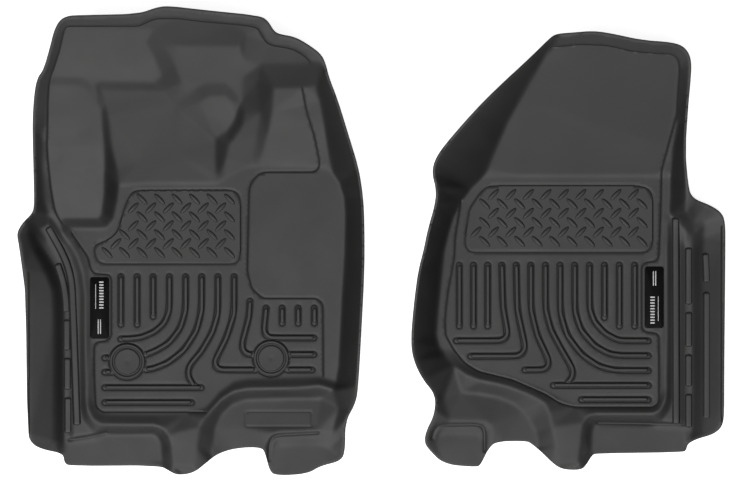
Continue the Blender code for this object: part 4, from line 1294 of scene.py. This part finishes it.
class FLOORLINER_OT_badges(Operator):
    """Make the badge plates with their plain pale bars"""
    bl_idname = "floor_liner.badges"
    bl_label = "Badges"

    def execute(self, context):
        for side, facing in (("driver", 1), ("passenger", -1)):
            low, high = (np.array(corner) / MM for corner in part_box(f"{side}_badge"))
            centre, size = (low + high)[:2] / 2, (high - low)[:2]
            shape = bmesh.new()
            outline = smoothed(rectangle(centre, size), 5.0, 1.5, True, 6)
            slab(shape, outline, low[2], high[2], 0.5)
            plate = object_from(shape, f"{side}_badge_plate")
            dress(plate, "badge", f"{side}_mat", [f"{side}_badge"])
            shape = bmesh.new()
            bars = [(3.0, along, 8.0, 2.4) for along in np.arange(0.0, 46.0, 5.0)]
            bars += [(-7.0, 20.0, 1.0, 44.0), (1.5, -33.0, 1.6, 26.0), (-2.5, -33.0, 1.6, 26.0)]
            for across, along, width, length in bars:
                place = centre + np.array((across, along)) * facing
                bar = smoothed(rectangle(place, (width, length)), 0.8, 1.2, True, 3)
                slab(shape, bar, high[2] - 0.2, high[2] + 0.12, 0.08)
            marks = object_from(shape, f"{side}_badge_bars")
            dress(marks, "ink", f"{side}_mat")
        return {"FINISHED"}



class FLOORLINER_OT_stage(Operator):
    """Lay the studio floor, hang the softbox and set the camera"""
    bl_idname = "floor_liner.stage"
    bl_label = "Stage"

    def execute(self, context):
        stage = looks().stage
        scene = context.scene
        low, high = CAD_BOX
        centre = (low + high) / 2

        shape = bmesh.new()
        bmesh.ops.create_grid(shape, x_segments=1, y_segments=1, size=6.0)
        bmesh.ops.translate(shape, verts=shape.verts, vec=(centre.x, centre.y, low.z - 0.0004))
        floor = object_from(shape, "studio_floor")
        material = bpy.data.materials.new("Studio floor")
        material.use_nodes = True
        wiring = Wiring(material.node_tree)
        shader = material.node_tree.nodes["Principled BSDF"]
        clouds = wiring.add("ShaderNodeTexNoise", Scale=2.0, Detail=2.0, Vector=object_place(wiring))
        pale, shade = tint(stage.floor, 1.0), tint(stage.floor, 0.985)
        wiring.feed(shader.inputs["Base Color"], wiring.blend(clouds.outputs[0], shade, pale))
        shader.inputs["Roughness"].default_value = 0.9
        shader.inputs["Specular IOR Level"].default_value = 0.1
        shader.inputs["Emission Color"].default_value = pale
        shader.inputs["Emission Strength"].default_value = stage.floor_glow
        floor.data.materials.append(material)

        lamp = bpy.data.lights.new("Softbox", "AREA")
        lamp.shape = "RECTANGLE"
        lamp.size, lamp.size_y = stage.softbox_size
        lamp.energy = stage.softbox_power
        softbox = linked("Softbox", lamp)
        back = stage.softbox_distance * math.sin(stage.softbox_tilt)
        softbox.location = (centre.x - stage.softbox_shift, centre.y - back,
                            stage.softbox_distance * math.cos(stage.softbox_tilt))
        direction = Vector((centre.x, centre.y, 0)) - softbox.location
        softbox.rotation_euler = direction.to_track_quat("-Z", "Y").to_euler()
        softbox.visible_camera = False

        world = bpy.data.worlds.new("Studio")
        scene.world = world
        world.use_nodes = True
        wiring = Wiring(world.node_tree)
        background = world.node_tree.nodes["Background"]
        background.inputs["Color"].default_value = (1.0, 1.0, 1.0, 1.0)
        seen = wiring.add("ShaderNodeLightPath").outputs["Is Camera Ray"]
        wiring.feed(background.inputs["Strength"], wiring.spread(seen, 0.0, 1.0, stage.fill, 1.0))

        camera = linked("Camera", bpy.data.cameras.new("Camera"))
        aim = np.array(centre)[:2] + PLAN_ORIGIN * MM
        camera.location = (*aim, stage.camera_height)
        camera.data.lens = camera.data.sensor_width * stage.camera_height / stage.view_width
        camera.data.clip_end = 300.0
        scene.camera = camera
        scene.view_settings.view_transform = "Standard"
        return {"FINISHED"}


class FLOORLINER_PT_panel(Panel):
    """Sidebar panel that lists the pieces and their settings"""
    bl_idname = "FLOORLINER_PT_panel"
    bl_label = "Floor liners"
    bl_space_type = "VIEW_3D"
    bl_region_type = "UI"
    bl_category = "Floor liners"

    def draw(self, context):
        for operator in OPERATORS:
            self.layout.operator(operator.bl_idname)
        for section in LooksSettings.__annotations__:
            box = self.layout.box()
            group = getattr(looks(), section)
            for name in group.__annotations__:
                box.prop(group, name)


class LooksSettings(PropertyGroup):
    """All settings of the set."""
    liner: PointerProperty(type=LinerSettings)
    ribs: PointerProperty(type=RibSettings)
    tread: PointerProperty(type=TreadSettings)
    retainers: PointerProperty(type=RetainerSettings)
    finish: PointerProperty(type=FinishSettings)
    stage: PointerProperty(type=StageSettings)


OPERATORS = (
    FLOORLINER_OT_driver_liner, FLOORLINER_OT_passenger_liner, FLOORLINER_OT_ribs, FLOORLINER_OT_sill_pads,
    FLOORLINER_OT_tread, FLOORLINER_OT_cleats, FLOORLINER_OT_retainers, FLOORLINER_OT_lock_pieces,
    FLOORLINER_OT_badges, FLOORLINER_OT_stage)
CLASSES = (
    LinerSettings, RibSettings, TreadSettings, RetainerSettings, FinishSettings, StageSettings, LooksSettings,
    *OPERATORS, FLOORLINER_PT_panel)


def register():
    for item in CLASSES:
        bpy.utils.register_class(item)
    bpy.types.Scene.floor_liner_looks = PointerProperty(type=LooksSettings)


def unregister():
    del bpy.types.Scene.floor_liner_looks
    for item in reversed(CLASSES):
        bpy.utils.unregister_class(item)


def main():
    """Build every piece and the stage."""
    register()
    bpy.ops.floor_liner.driver_liner()
    bpy.ops.floor_liner.passenger_liner()
    bpy.ops.floor_liner.ribs()
    bpy.ops.floor_liner.sill_pads()
    bpy.ops.floor_liner.tread()
    bpy.ops.floor_liner.cleats()
    bpy.ops.floor_liner.retainers()
    bpy.ops.floor_liner.lock_pieces()
    bpy.ops.floor_liner.badges()
    bpy.ops.floor_liner.stage()


if __name__ == "__main__":
    main()
